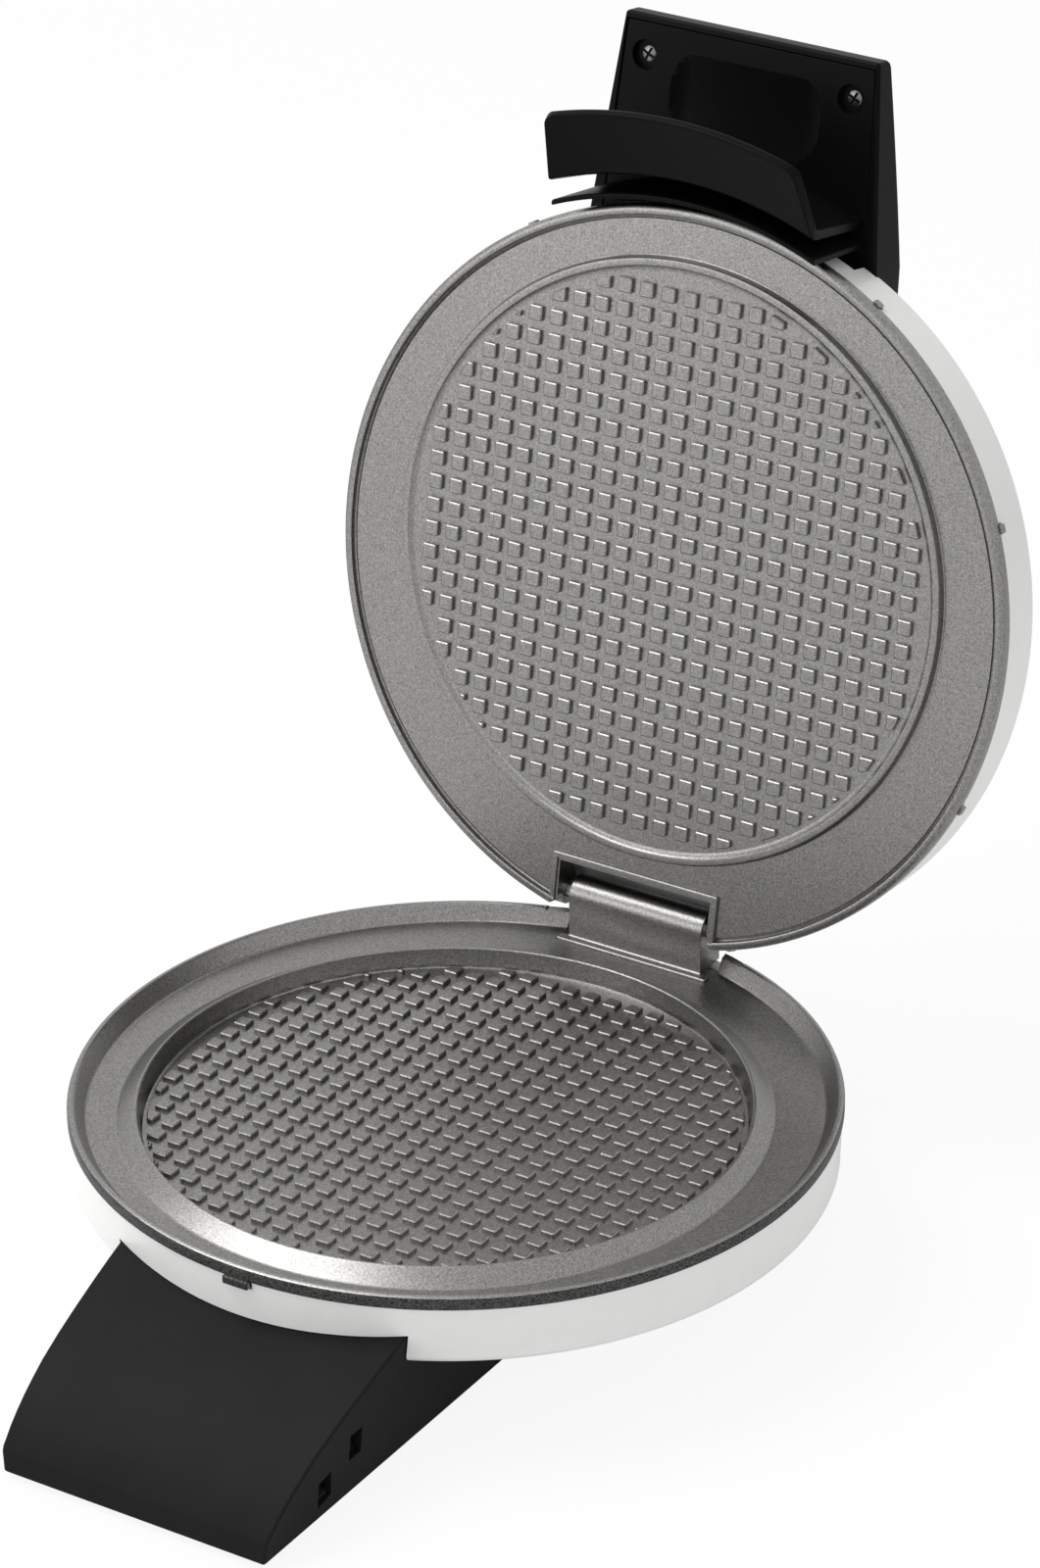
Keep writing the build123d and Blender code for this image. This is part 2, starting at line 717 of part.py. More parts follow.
# Hinge pin through both ears and the tongue, with a clip in the groove near each end
clip_x = ear_outer + 0.1
with BuildPart() as hinge_pin:
    with BuildSketch(Plane.YZ):
        with Locations((hinge_y, hinge_z)):
            Circle(pin_radius)
    extrude(amount=clip_x + 2.0, both=True)
place(hinge_pin.part, "hinge_pin", True)
with BuildPart() as hinge_clips:
    for side in (-1, 1):
        with BuildSketch(Plane.YZ.offset(side * clip_x)):
            with Locations((hinge_y, hinge_z)):
                Circle(4.3)
                Circle(pin_radius + shaft_gap, mode=Mode.SUBTRACT)
        extrude(amount=side * 0.9)
place(hinge_clips.part, "hinge_clips", True)

# Stand: a hollow body open below, with a wedge-shaped front
cover_screw_x = stand_half - 11.7
front_screw_y, back_screw_y = stand_front + 54.3, stand_back - 38.0
cover_screw_spots = [(cover_screw_x, front_screw_y), (-cover_screw_x, front_screw_y)]
cover_screw_spots += [(cover_screw_x, back_screw_y), (-cover_screw_x, back_screw_y)]
# each hook's place along the stand, its window's size and turn, and how high its arm starts and ends
back_hook = (stand_front + 40.5, 15.5, (5.6, 8.0), 0, 12.1, 17.3)
front_hook = (stand_front + 26.6, 8.5, (6.0, 7.4), -12, 5.9, 9.9)
hooks = [back_hook, front_hook]
with BuildPart() as stand_hollow:
    add(stand_form(-stand_wall))
    with BuildSketch(Plane.XY.offset(stand_bottom + cover_thickness)):
        with Locations(cover_screw_spots):
            Circle(boss_radius)
    extrude(amount=40, mode=Mode.SUBTRACT)
with BuildPart() as stand:
    add(stand_form(0))
    add(stand_hollow.part, mode=Mode.SUBTRACT)
    with BuildSketch(Plane.XY.offset(stand_bottom)):
        with BuildLine():
            low, high = stand_front + stand_wall, stand_back - stand_wall
            Polyline(
                (stand_half - stand_wall, low),
                (stand_back_half - stand_wall, high),
                (-stand_back_half + stand_wall, high),
                (-stand_half + stand_wall, low),
                close=True,
            )
        make_face()
    extrude(amount=cover_thickness, mode=Mode.SUBTRACT)
    with BuildSketch(Plane.XY.offset(stand_bottom + cover_thickness)):
        with Locations(cover_screw_spots):
            Circle(thread_hole)
    extrude(amount=12, mode=Mode.SUBTRACT)
    # holes for the screws into the housing, the terminals and the cord gland
    with BuildSketch(Plane.XY.offset(-shell_depth - stand_wall - 0.5)):
        with Locations(stand_screws):
            Circle(pass_hole)
        with Locations((0, terminal_y)):
            Rectangle(2 * terminal_half, 16)
    extrude(amount=stand_wall + 1, mode=Mode.SUBTRACT)
    with BuildSketch(Plane.XZ.offset(-stand_back - 1)):
        with Locations((0, gland_z)):
            Circle(gland_radius + shaft_gap)
    extrude(amount=stand_wall + 2, mode=Mode.SUBTRACT)
    # windows for the cover's snap hooks, two on each side
    with BuildSketch(Plane.YZ):
        for y, height, window, turn, low, high in hooks:
            with Locations(Location((y, stand_bottom + height, 0), (0, 0, turn))):
                Rectangle(*window)
    extrude(amount=stand_half + 20, both=True, mode=Mode.SUBTRACT)
place(stand.part, "stand")

with BuildPart() as stand_screw_set:
    seat_z = -shell_depth - stand_wall
    with BuildSketch(Plane.XY.offset(seat_z)):
        with Locations(stand_screws):
            Circle(head_radius)
    extrude(amount=-head_height)
    with BuildSketch(Plane.XY.offset(seat_z)):
        with Locations(stand_screws):
            Circle(shank_radius)
    extrude(amount=8)
place(stand_screw_set.part, "stand_screws")

with BuildPart() as stand_cover:
    with BuildSketch(Plane.XY.offset(stand_bottom)):
        with BuildLine():
            edge = stand_wall + cover_fit
            Polyline(
                (stand_half - edge, stand_front + edge),
                (stand_back_half - edge, stand_back - edge),
                (-stand_back_half + edge, stand_back - edge),
                (-stand_half + edge, stand_front + edge),
                close=True,
            )
        make_face()
    extrude(amount=cover_thickness)
    with BuildSketch(Plane.XY.offset(stand_bottom)):
        with Locations(cover_screw_spots):
            Circle(pass_hole)
    extrude(amount=cover_thickness, mode=Mode.SUBTRACT)
    with BuildSketch(Plane.XY.offset(stand_bottom)):
        with Locations(cover_screw_spots):
            Circle(counterbore_radius)
    extrude(amount=1.4, mode=Mode.SUBTRACT)
    # snap arms with their hooks in the windows
    arm = stand_half - stand_wall - cover_fit
    for side in (-1, 1):
        for y, height, window, turn, low, high in hooks:
            with BuildSketch(Plane.XZ.offset(-y)):
                with BuildLine():
                    Polyline(
                        (side * (arm - 1.8), stand_bottom + 1),
                        (side * arm, stand_bottom + 1),
                        (side * arm, stand_bottom + low),
                        (side * (arm + 2.9), stand_bottom + low + 0.4),
                        (side * (arm + 2.9), stand_bottom + low + 1.2),
                        (side * arm, stand_bottom + high),
                        (side * (arm - 1.8), stand_bottom + high),
                        close=True,
                    )
                make_face()
            extrude(amount=2.0, both=True)
place(stand_cover.part, "stand_cover")

with BuildPart() as cover_screws:
    seat_z = stand_bottom + 1.4
    with BuildSketch(Plane.XY.offset(seat_z)):
        with Locations(cover_screw_spots):
            Circle(head_radius)
    extrude(amount=-1.3)
    with BuildSketch(Plane.XY.offset(seat_z)):
        with Locations(cover_screw_spots):
            Circle(shank_radius)
    extrude(amount=11)
place(cover_screws.part, "cover_screws")

with BuildPart() as rubber_feet:
    with BuildSketch(Plane.XY.offset(stand_bottom)):
        for x, y in ((stand_half - 12.7, stand_front + 16.3), (stand_half - 10.7, stand_back - 16.0)):
            with Locations((x, y), (-x, y)):
                Circle(foot_radius)
    extrude(amount=-foot_height, taper=12)
place(rubber_feet.part, "rubber_feet")

with BuildPart() as cord_gland:
    with BuildSketch(Plane.XZ.offset(-stand_back)):
        with Locations((0, gland_z)):
            Circle(gland_radius + 2.0)
    extrude(amount=-2.2, taper=10)
    with BuildSketch(Plane.XZ.offset(-stand_back)):
        with Locations((0, gland_z)):
            Circle(gland_radius)
    extrude(amount=stand_wall + 2.6)
    with BuildSketch(Plane.XZ.offset(-stand_back + stand_wall)):
        with Locations((0, gland_z)):
            Circle(gland_radius + 1.6)
    extrude(amount=1.6)
    with BuildSketch(Plane.XZ.offset(-stand_back - 3)):
        with Locations((0, gland_z)):
            Circle(gland_radius - 2.6)
    extrude(amount=12, mode=Mode.SUBTRACT)
place(cord_gland.part, "cord_gland")

with BuildPart() as terminal_block:
    with BuildSketch(Plane.XY.offset(stand_bottom + cover_thickness)):
        with Locations((0, terminal_y + 9.5)):
            Rectangle(34, 16)
    extrude(amount=9)
    with BuildSketch(Plane.XY.offset(stand_bottom + cover_thickness + 9)):
        with Locations([(x, terminal_y + 9.5) for x in (-11, 0, 11)]):
            Rectangle(8, 9)
    extrude(amount=4)
place(terminal_block.part, "terminal_block")

# Handle shell: hollow, open towards the plates, seated on the lid housing's top
lamp_y = housing_front + 19.0
lamp_spots = {"power_lamp_lens": (-9.0, lamp_y), "ready_lamp_lens": (9.0, lamp_y)}
cup_z = handle_panel_z + well_depth + well_wall
cups = [(-handle_screw_x, handle_screw_y), (handle_screw_x, handle_screw_y)]
with BuildPart() as handle_hollow:
    add(handle_form(handle_wall))
    with BuildSketch(Plane.XY.offset(shell_depth - 1)):
        with Locations(handle_screws):
            Circle(boss_radius)
    extrude(amount=20, mode=Mode.SUBTRACT)
    with BuildSketch(Plane.XY.offset(cup_z)):
        with Locations(cups):
            Circle(boss_radius)
    extrude(amount=8, mode=Mode.SUBTRACT)
with BuildPart() as handle_shell:
    add(handle_form(0))
    add(handle_hollow.part, mode=Mode.SUBTRACT)
    with BuildSketch(Plane.XY.offset(handle_edge_z)):
        with BuildLine():
            panel_fit_half = panel_half_end + panel_fit
            Polyline(
                (panel_fit_half, panel_end - panel_fit),
                (panel_half + panel_fit, handle_step_y),
                (-panel_half - panel_fit, handle_step_y),
                (-panel_fit_half, panel_end - panel_fit),
                close=True,
            )
        make_face()
    extrude(amount=handle_panel_z - handle_edge_z + panel_thickness, mode=Mode.SUBTRACT)
    with BuildSketch(Plane.XY.offset(handle_edge_z)):
        with BuildLine():
            Polyline(
                (panel_half_end - 1.4, panel_end + 1.4),
                (panel_half - 1.4, handle_step_y - 1.4),
                (-panel_half + 1.4, handle_step_y - 1.4),
                (-panel_half_end + 1.4, panel_end + 1.4),
                close=True,
            )
        make_face()
    extrude(amount=handle_wall + 0.6, mode=Mode.SUBTRACT)
    with BuildSketch(Plane.XY.offset(shell_depth)):
        with Locations(handle_screws):
            Circle(thread_hole)
    extrude(amount=8, mode=Mode.SUBTRACT)
    with BuildSketch(Plane.XY.offset(cup_z)):
        with Locations(cups):
            Circle(thread_hole)
    extrude(amount=1.8, mode=Mode.SUBTRACT)
    with BuildSketch(Plane.XY.offset(shell_depth + 6.5)):
        with Locations(list(lamp_spots.values())):
            Circle(lens_radius + shaft_gap)
    extrude(amount=12, mode=Mode.SUBTRACT)
place(handle_shell.part, "handle_shell", True)

for name, spot in lamp_spots.items():
    with BuildPart() as lens:
        with BuildSketch(Plane.XY.offset(shell_depth + 7.5)):
            with Locations(spot):
                Circle(lens_radius)
        extrude(amount=6.8)
        fillet(lens.edges().sort_by(Axis.Z)[-1], 1.6)
    place(lens.part, name, True)

with BuildPart() as handle_screw_set:
    with BuildSketch(Plane.XY.offset(shell_depth - shell_floor)):
        with Locations(handle_screws):
            Circle(head_radius)
    extrude(amount=-head_height)
    with BuildSketch(Plane.XY.offset(shell_depth - shell_floor)):
        with Locations(handle_screws):
            Circle(shank_radius)
    extrude(amount=9)
place(handle_screw_set.part, "handle_screws", True)

# Handle cover: panel, hooked guard and fin in one moulding, both concentric with the plates
with BuildPart() as handle_cover:
    with BuildSketch(Plane.XZ):
        with BuildLine():
            root_z = handle_panel_z + 1
            bend_z = -shell_depth + 11.2
            Polyline(
                (guard_radius, root_z),
                (guard_radius + 2.3, root_z),
                (guard_radius + 5.2, bend_z),
                (guard_radius + 21.8, bend_z - 9.9),
                (guard_radius + 21.0, bend_z - 12.5),
                (guard_radius + 3.4, bend_z - 2.3),
                close=True,
            )
        face = make_face()
        tip = face.vertices().group_by(Axis.X)[-1] + face.vertices().group_by(Axis.X)[-2]
        fillet(tip, 0.9)
        bend = face.vertices().filter_by_position(Axis.Z, bend_z - 3, bend_z + 1)
        fillet(bend, 2.2)
    revolve(axis=Axis.Z)
    with BuildSketch(Plane.XZ.offset(guard_radius - 25)):
        with BuildLine():
            sides = [(-2.0, root_z), (0.1, bend_z - 1.9), (-0.6, bend_z - 7.1), (-3.2, bend_z - 13.2)]
            right = [(panel_half + x, z) for x, z in sides]
            left = [(-x, z) for x, z in reversed(right)]
            Polyline(*right, *left, close=True)
        make_face()
    extrude(amount=60, mode=Mode.INTERSECT)
    with BuildSketch(Plane.XY.offset(bend_z + 0.4)):
        with BuildLine():
            fin_half = panel_half - 0.6
            ring_slice(fin_radius, fin_radius - fin_thickness, fin_half)
        make_face()
    extrude(amount=handle_panel_z - bend_z + 0.2)
    with BuildSketch(Plane.XY.offset(handle_panel_z)):
        with BuildLine():
            Polyline(
                (panel_half_end, panel_end),
                (panel_half, panel_inner),
                (panel_half, handle_step_y - panel_fit),
                (-panel_half, handle_step_y - panel_fit),
                (-panel_half, panel_inner),
                (-panel_half_end, panel_end),
                close=True,
            )
        face = make_face()
        fillet(face.vertices().group_by(Axis.Y)[0], 2.0)
    extrude(amount=panel_thickness)
    # lip that closes the housing's notch behind the fin
    with BuildSketch(Plane.XY.offset(lip_z)):
        with BuildLine():
            ring_slice(shell_radius - 1.0, shell_radius - shell_wall, panel_half - 0.2)
        make_face()
    extrude(amount=handle_panel_z - lip_z + 0.5)
    # wells of the two screws and the soft finger recess
    with BuildSketch(Plane.XY.offset(handle_panel_z + 0.5)):
        with Locations(cups):
            Circle(well_radius + 1.3)
    extrude(amount=well_depth + well_wall - 0.5)
    with BuildSketch(Plane.XY.offset(handle_panel_z)):
        with Locations(cups):
            Circle(well_radius)
    extrude(amount=well_depth, mode=Mode.SUBTRACT)
    with BuildSketch(Plane.XY.offset(handle_panel_z)):
        with Locations(cups):
            Circle(pass_hole)
    extrude(amount=well_depth + 3, mode=Mode.SUBTRACT)
    with BuildSketch(Plane.XY.offset(handle_panel_z)):
        with Locations((0, panel_end + 8.0 + finger_length / 2)):
            RectangleRounded(finger_width, finger_length, 8)
    extrude(amount=finger_depth, taper=65, mode=Mode.SUBTRACT)
place(handle_cover.part, "handle_cover", True)

with BuildPart() as cover_screw_pair:
    seat_z = handle_panel_z + well_depth
    with BuildSketch(Plane.XY.offset(seat_z)):
        with Locations(cups):
            Circle(head_radius)
    extrude(amount=-1.8)
    with BuildSketch(Plane.XY.offset(seat_z)):
        with Locations(cups):
            Circle(shank_radius)
    extrude(amount=2.9)
place(cover_screw_pair.part, "handle_cover_screws", True)
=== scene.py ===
import json
import math

import bpy
from mathutils import Matrix, Vector


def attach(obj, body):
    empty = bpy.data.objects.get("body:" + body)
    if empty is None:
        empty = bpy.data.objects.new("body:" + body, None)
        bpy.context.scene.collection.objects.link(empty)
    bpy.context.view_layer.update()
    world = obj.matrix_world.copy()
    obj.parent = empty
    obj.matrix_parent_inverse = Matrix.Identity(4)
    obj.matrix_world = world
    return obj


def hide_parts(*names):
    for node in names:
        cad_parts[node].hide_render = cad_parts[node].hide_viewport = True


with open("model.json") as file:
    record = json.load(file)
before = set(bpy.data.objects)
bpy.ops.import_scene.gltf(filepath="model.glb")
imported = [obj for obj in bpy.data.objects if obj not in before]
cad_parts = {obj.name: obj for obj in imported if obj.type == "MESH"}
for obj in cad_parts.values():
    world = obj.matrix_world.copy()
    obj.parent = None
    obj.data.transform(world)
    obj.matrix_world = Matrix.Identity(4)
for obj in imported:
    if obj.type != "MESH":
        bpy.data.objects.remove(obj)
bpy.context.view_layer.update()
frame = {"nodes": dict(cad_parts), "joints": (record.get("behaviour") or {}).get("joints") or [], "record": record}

# Sizes are in mm and angles in degrees. Every piece is drawn with the lid closed, from the axis of
# the plates and the plane between their rims, as in the part. The frame's hinge gives where that is.
MM = 0.001
HINGE = (0.0, 100.7, 8.0)
LID_HINGE = frame["joints"][0]
ORIGIN = Vector([round(place / MM - own, 3) for place, own in zip(LID_HINGE["pos_m"], HINGE)])
OPEN_ANGLE = LID_HINGE["range_deg"][1]
ROUGH_HALF = 60

# Plates. DISC is the middle of both fields of squares, which lie a little in front of the axis.
AXIS = (0.0, 0.0, 0.0)
DISC = (0.0, -5.5)
PLATE_RADIUS = 107.5
RIM_RADIUS = 107.2
SPIGOT_RADIUS = 103.8
EDGE_FROM = 107.05
LIP_DEPTH = 4.1
LIP_START = 3.8
CHANNEL = -4.9
LOWER_FLOOR = -7.3
LOWER_BACK = -10.8
UPPER_RING = 1.4
UPPER_FLOOR = 0.2
UPPER_BACK = 4.9
INNER_RADIUS = 40
SQUARE_PITCH = 7.0
SQUARE_SIDE = 4.264
SQUARE_SUNK = 0.5
SQUARE_BEVEL = 0.5
SQUARES_ACROSS = 25
SMALLEST_SQUARE = 1.4
FIELD_RADIUS = 82.6
LUG_ANGLES = (-59, -21, 24, 156, -159, -121)

# Hinge
BARREL_RADIUS = 5.4
BORE_RADIUS = 2.55
TONGUE_HALF = 22.1
SWING_RADIUS = 9.0
SWING_HALF = 33
PAD_FRONT = 92.6
NOTCH_HALF = 25
NOTCH_FRONT = 89.9
EAR_RADIUS = 4.6
EAR_WIDTH = 4.5
EAR_INNER = 25.3

# Housings
SHELL_OUTSIDE = 21.5
SHELL_INSIDE = 19.5
SHELL_ROUND = 2.6
SCREW_WELL_RADIUS = 3.5
SCREW_WELL_FLOOR = 18.8
SCREW_CORNERS = [(x, y) for x in (-82, 82) for y in (-47, 47)]

# Stand
STAND_FRONT = -158.3
STAND_BACK = 98.0
STAND_BOTTOM = -50.5
STAND_HALF = 41.7
STAND_FLARE = 0.0101
STAND_LEAN = math.tan(math.radians(5.56))
BROW_BACK = -94.0
STAND_FIT = 0.35

# Handle
HANDLE_END = -154.5
HANDLE_FACE = 18.9
HANDLE_HALF = 46.3
HANDLE_END_HALF = 40.5
FLARE_BACK = -96.0
HANDLE_FLARE = (HANDLE_HALF - HANDLE_END_HALF) / (FLARE_BACK - HANDLE_END)
LAMP_SPOTS = ((-9, -88), (9, -88))
PANEL_FACE = 19.1
SCREW_X = 32.9
SCREW_Y = -143.0
GUARD_SWEEP = 48


def at(x, y, z):
    """A place on the part, in the scene's metres."""
    return (Vector((x, y, z)) + ORIGIN) * MM


def edit():
    bpy.ops.object.mode_set(mode="EDIT")
    bpy.ops.mesh.select_mode(type="VERT")


def done_editing():
    bpy.ops.object.mode_set(mode="OBJECT")


def fresh():
    """Leave edit mode and select nothing."""
    if bpy.context.object and bpy.context.object.mode != "OBJECT":
        done_editing()
    bpy.ops.object.select_all(action="DESELECT")


def alone(obj):
    fresh()
    obj.select_set(True)
    bpy.context.view_layer.objects.active = obj
    return obj


def named(name):
    obj = bpy.context.object
    obj.name = name
    obj.data.name = name
    return obj


def applied(obj):
    """Put the object's place, turn and scale into its mesh."""
    alone(obj)
    bpy.ops.object.transform_apply(location=True, rotation=True, scale=True)
    return obj


def turned_about(obj, spot, angle, axis="Z"):
    """Turn the object about an axis through a spot."""
    middle = at(*spot)
    turn = Matrix.Rotation(math.radians(angle), 4, axis)
    obj.matrix_world = Matrix.Translation(middle) @ turn @ Matrix.Translation(-middle)
    return applied(obj)


def clean(obj):
    """Merge doubled points and point every face outwards."""
    alone(obj)
    edit()
    bpy.ops.mesh.select_all(action="SELECT")
    bpy.ops.mesh.remove_doubles(threshold=0.000001)
    bpy.ops.mesh.normals_make_consistent(inside=False)
    done_editing()
    return obj


def turned(name, rings, centre=(0.0, 0.0), segments=192):
    """Body of revolution, pulled ring by ring from (radius, height) pairs."""
    fresh()
    radius, height = rings[0]
    bpy.ops.mesh.primitive_circle_add(
        vertices=segments, radius=radius * MM, fill_type="NGON", location=at(*centre, height)
    )
    obj = named(name)
    edit()
    bpy.ops.mesh.select_all(action="SELECT")
    for (old_radius, old_height), (new_radius, new_height) in zip(rings, rings[1:]):
        rise = (0, 0, (new_height - old_height) * MM)
        bpy.ops.mesh.extrude_region_move(TRANSFORM_OT_translate={"value": rise})
        scale = new_radius / old_radius
        bpy.ops.transform.resize(value=(scale, scale, 1), center_override=at(*centre, new_height))
    done_editing()
    return clean(obj)


def drawn(name, corners):
    """Flat face with the given corners, drawn point by point."""
    fresh()
    spots = [at(*corner) for corner in corners]
    bpy.ops.mesh.primitive_plane_add(size=MM, location=spots[0])
    obj = named(name)
    edit()
    bpy.ops.mesh.select_all(action="SELECT")
    bpy.ops.mesh.merge(type="CENTER")
    for here, there in zip(spots, spots[1:]):
        bpy.ops.mesh.extrude_vertices_move(TRANSFORM_OT_translate={"value": there - here})
    bpy.ops.mesh.select_all(action="SELECT")
    bpy.ops.mesh.edge_face_add()
    done_editing()
    return alone(obj)


def outlined(name, corners, pull):
    """Flat outline pulled into a solid."""
    obj = drawn(name, corners)
    edit()
    bpy.ops.mesh.select_all(action="SELECT")
    bpy.ops.mesh.extrude_region_move(TRANSFORM_OT_translate={"value": Vector(pull) * MM})
    done_editing()
    return clean(obj)


def side_outlined(name, side, start=-ROUGH_HALF, width=2 * ROUGH_HALF):
    """Solid with a (y, z) side outline. Without a width it comes out wide, to be shaved to size."""
    return outlined(name, [(start, y, z) for y, z in side], (width, 0, 0))


def block(name, low, high):
    fresh()
    low, high = at(*low), at(*high)
    bpy.ops.mesh.primitive_cube_add(size=1, location=(low + high) / 2)
    obj = named(name)
    obj.scale = high - low
    return applied(obj)


def rod(name, start, end, radius, segments=48):
    fresh()
    start, end = at(*start), at(*end)
    along = end - start
    bpy.ops.mesh.primitive_cylinder_add(
        vertices=segments, radius=radius * MM, depth=along.length, location=(start + end) / 2
    )
    obj = named(name)
    obj.rotation_mode = "QUATERNION"
    obj.rotation_quaternion = along.to_track_quat("Z", "Y")
    return applied(obj)


def hinge_rod(name, half, radius, segments):
    """Rod on the axis of the hinge."""
    _, y, z = HINGE
    return rod(name, (-half, y, z), (half, y, z), radius, segments)


def shaved(obj, spot, normal):
    """Cut off what lies beyond a plane and close the cut."""
    alone(obj)
    edit()
    bpy.ops.mesh.select_all(action="SELECT")
    bpy.ops.mesh.bisect(plane_co=at(*spot), plane_no=normal, use_fill=True, clear_outer=True)
    done_editing()
    return obj


def modified(obj, kind, **settings):
    alone(obj)
    modifier = obj.modifiers.new(kind.title(), kind)
    for key, value in settings.items():
        setattr(modifier, key, value)
    bpy.ops.object.modifier_apply(modifier=modifier.name)
    return obj


def combined(obj, others, how="DIFFERENCE", solver="MANIFOLD"):
    for other in others:
        modified(obj, "BOOLEAN", operation=how, object=other, solver=solver)
        bpy.data.objects.remove(other)
    return obj


def joined(obj, others):
    alone(obj)
    for other in others:
        other.select_set(True)
    bpy.ops.object.join()
    return obj


def softened(obj, width, segments=3, angle=30):
    """Bevel every edge that is sharper than an angle."""
    limit = {"limit_method": "ANGLE", "angle_limit": math.radians(angle)}
    return modified(obj, "BEVEL", width=width * MM, segments=segments, **limit)


def smooth(obj, angle=35):
    """Smooth shading that leaves the broad faces flat and turns only the bevels."""
    alone(obj)
    bpy.ops.object.shade_smooth_by_angle(angle=math.radians(angle))
    return modified(obj, "WEIGHTED_NORMAL", mode="FACE_AREA", keep_sharp=True)


def arc_points(middle, radius, start, end, steps):
    spots = []
    for step in range(steps + 1):
        turn = math.radians(start + (end - start) * step / steps)
        spots.append((middle[0] + radius * math.cos(turn), middle[1] + radius * math.sin(turn)))
    return spots


class Value:
    """A socket that does arithmetic by adding Math nodes."""

    def __init__(self, finish, socket):
        self.finish, self.socket = finish, socket

    def _math(self, operation, first, second):
        return self.finish.node("ShaderNodeMath", {"operation": operation}, {0: first, 1: second})

    def __add__(self, other):
        return self._math("ADD", self, other)

    def __radd__(self, other):
        return self._math("ADD", other, self)

    def __mul__(self, other):
        return self._math("MULTIPLY", self, other)

    def __rmul__(self, other):
        return self._math("MULTIPLY", other, self)


class Finish:
    """A procedural material round one Principled shader."""

    def __init__(self, name, colour, **numbers):
        self.material = bpy.data.materials.new(name)
        self.material.use_nodes = True
        self.tree = self.material.node_tree
        self.shader = self.tree.nodes["Principled BSDF"]
        self.shader.inputs["Base Color"].default_value = (*colour, 1)
        for key, value in numbers.items():
            self.shader.inputs[key.replace("_", " ").title()].default_value = value
        self.place = self.node("ShaderNodeTexCoord", {}, {}, "Object")

    def node(self, kind, settings, inputs, output=0):
        """Add a node with its settings and the values or links of its sockets."""
        made = self.tree.nodes.new(kind)
        for key, value in settings.items():
            if key == "stops":
                for stop, (spot, shade) in zip(made.color_ramp.elements, value):
                    stop.position, stop.color = spot, (shade, shade, shade, 1)
            else:
                setattr(made, key, value)
        for key, value in inputs.items():
            if isinstance(value, Value):
                self.tree.links.new(value.socket, made.inputs[key])
            else:
                made.inputs[key].default_value = value
        return Value(self, made.outputs[output])

    def noise(self, cell, detail=2.0, rough=0.5, stretch=None):
        """Noise with cells of about the given size."""
        where = self.place
        if stretch:
            where = self.node("ShaderNodeMapping", {}, {"Vector": where, "Scale": stretch}, "Vector")
        inputs = {"Vector": where, "Scale": 1 / (cell * MM), "Detail": detail, "Roughness": rough}
        return self.node("ShaderNodeTexNoise", {}, inputs, "Fac")

    def ramp(self, value, low, high):
        """Stretch what lies between two values to the range from 0 to 1."""
        stops = ((low, 0.0), (high, 1.0))
        return self.node("ShaderNodeValToRGB", {"stops": stops}, {"Fac": value}, "Color")

    def between(self, mask, first, second):
        """Mix two colours by a mask, through sockets 6 and 7, where the Mix node takes its colours."""
        colours = [shade if isinstance(shade, Value) else (*shade, 1) for shade in (first, second)]
        inputs = {0: mask, 6: colours[0], 7: colours[1]}
        return self.node("ShaderNodeMix", {"data_type": "RGBA"}, inputs, 2)

    def feed(self, name, value):
        self.tree.links.new(value.socket, self.shader.inputs[name])

    def relief(self, height, distance, strength=1.0):
        inputs = {"Height": height, "Distance": distance * MM, "Strength": strength}
        self.feed("Normal", self.node("ShaderNodeBump", {}, inputs, "Normal"))


def coating():
    """Grey non-stick coat on the cast plates, with a fine light and dark speckle."""
    finish = Finish("speckled_coating", (0.23, 0.23, 0.225), metallic=1.0, roughness=0.34)
    speck = finish.noise(0.55, 3.0, 0.7)
    cloud = finish.noise(9.0, 3.0, 0.6)
    grain = finish.ramp(speck, 0.34, 0.68)
    tone = finish.between(grain, (0.135, 0.133, 0.128), (0.355, 0.35, 0.338))
    finish.feed("Base Color", finish.between(cloud * 0.35, tone, (0.24, 0.237, 0.229)))
    finish.feed("Roughness", 0.25 + speck * 0.14)
    finish.relief(speck, 0.02)
    return finish.material


def turned_edge_with_painted_shade():
    """Dark outer edge of the lower plate, with the short marks that the cutting tool left; the same dark tone is
    also painted shade on the front lug in the housing's window.
    """
    finish = Finish("turned_dark_edge_and_painted_shade", (0.06, 0.06, 0.06), metallic=0.9, roughness=0.45)
    marks = finish.noise(0.7, 2.0, 0.6, (1.0, 1.0, 2.2))
    streak = finish.ramp(marks, 0.4, 0.62)
    finish.feed("Base Color", finish.between(streak, (0.02, 0.02, 0.02), (0.10, 0.10, 0.098)))
    finish.relief(marks, 0.05)
    return finish.material


def white_plastic():
    """Satin white of the two housings."""
    finish = Finish("white_moulded_plastic", (0.82, 0.82, 0.81), roughness=0.3, coat_weight=0.15)
    swell = finish.noise(6.0, 2.0, 0.4)
    finish.feed("Base Color", finish.between(swell, (0.80, 0.80, 0.79), (0.84, 0.84, 0.83)))
    finish.feed("Roughness", 0.26 + swell * 0.1)
    finish.relief(swell, 0.02, 0.5)
    return finish.material


def black_plastic(name, shade, rough, cell, sheen):
    """Black moulded plastic with a grain of the given cell size."""
    finish = Finish(name, (shade, shade, shade * 0.95), roughness=rough)
    finish.shader.inputs["Specular IOR Level"].default_value = sheen
    grain = finish.noise(cell, 3.0, 0.6)
    cloud = finish.noise(14.0, 2.0, 0.5)
    lighter = (shade * 1.2, shade * 1.18, shade * 1.12)
    finish.feed("Base Color", finish.between(cloud, (shade * 0.85,) * 3, lighter))
    finish.feed("Roughness", rough - 0.06 + grain * 0.14)
    finish.relief(grain, 0.03)
    return finish.material


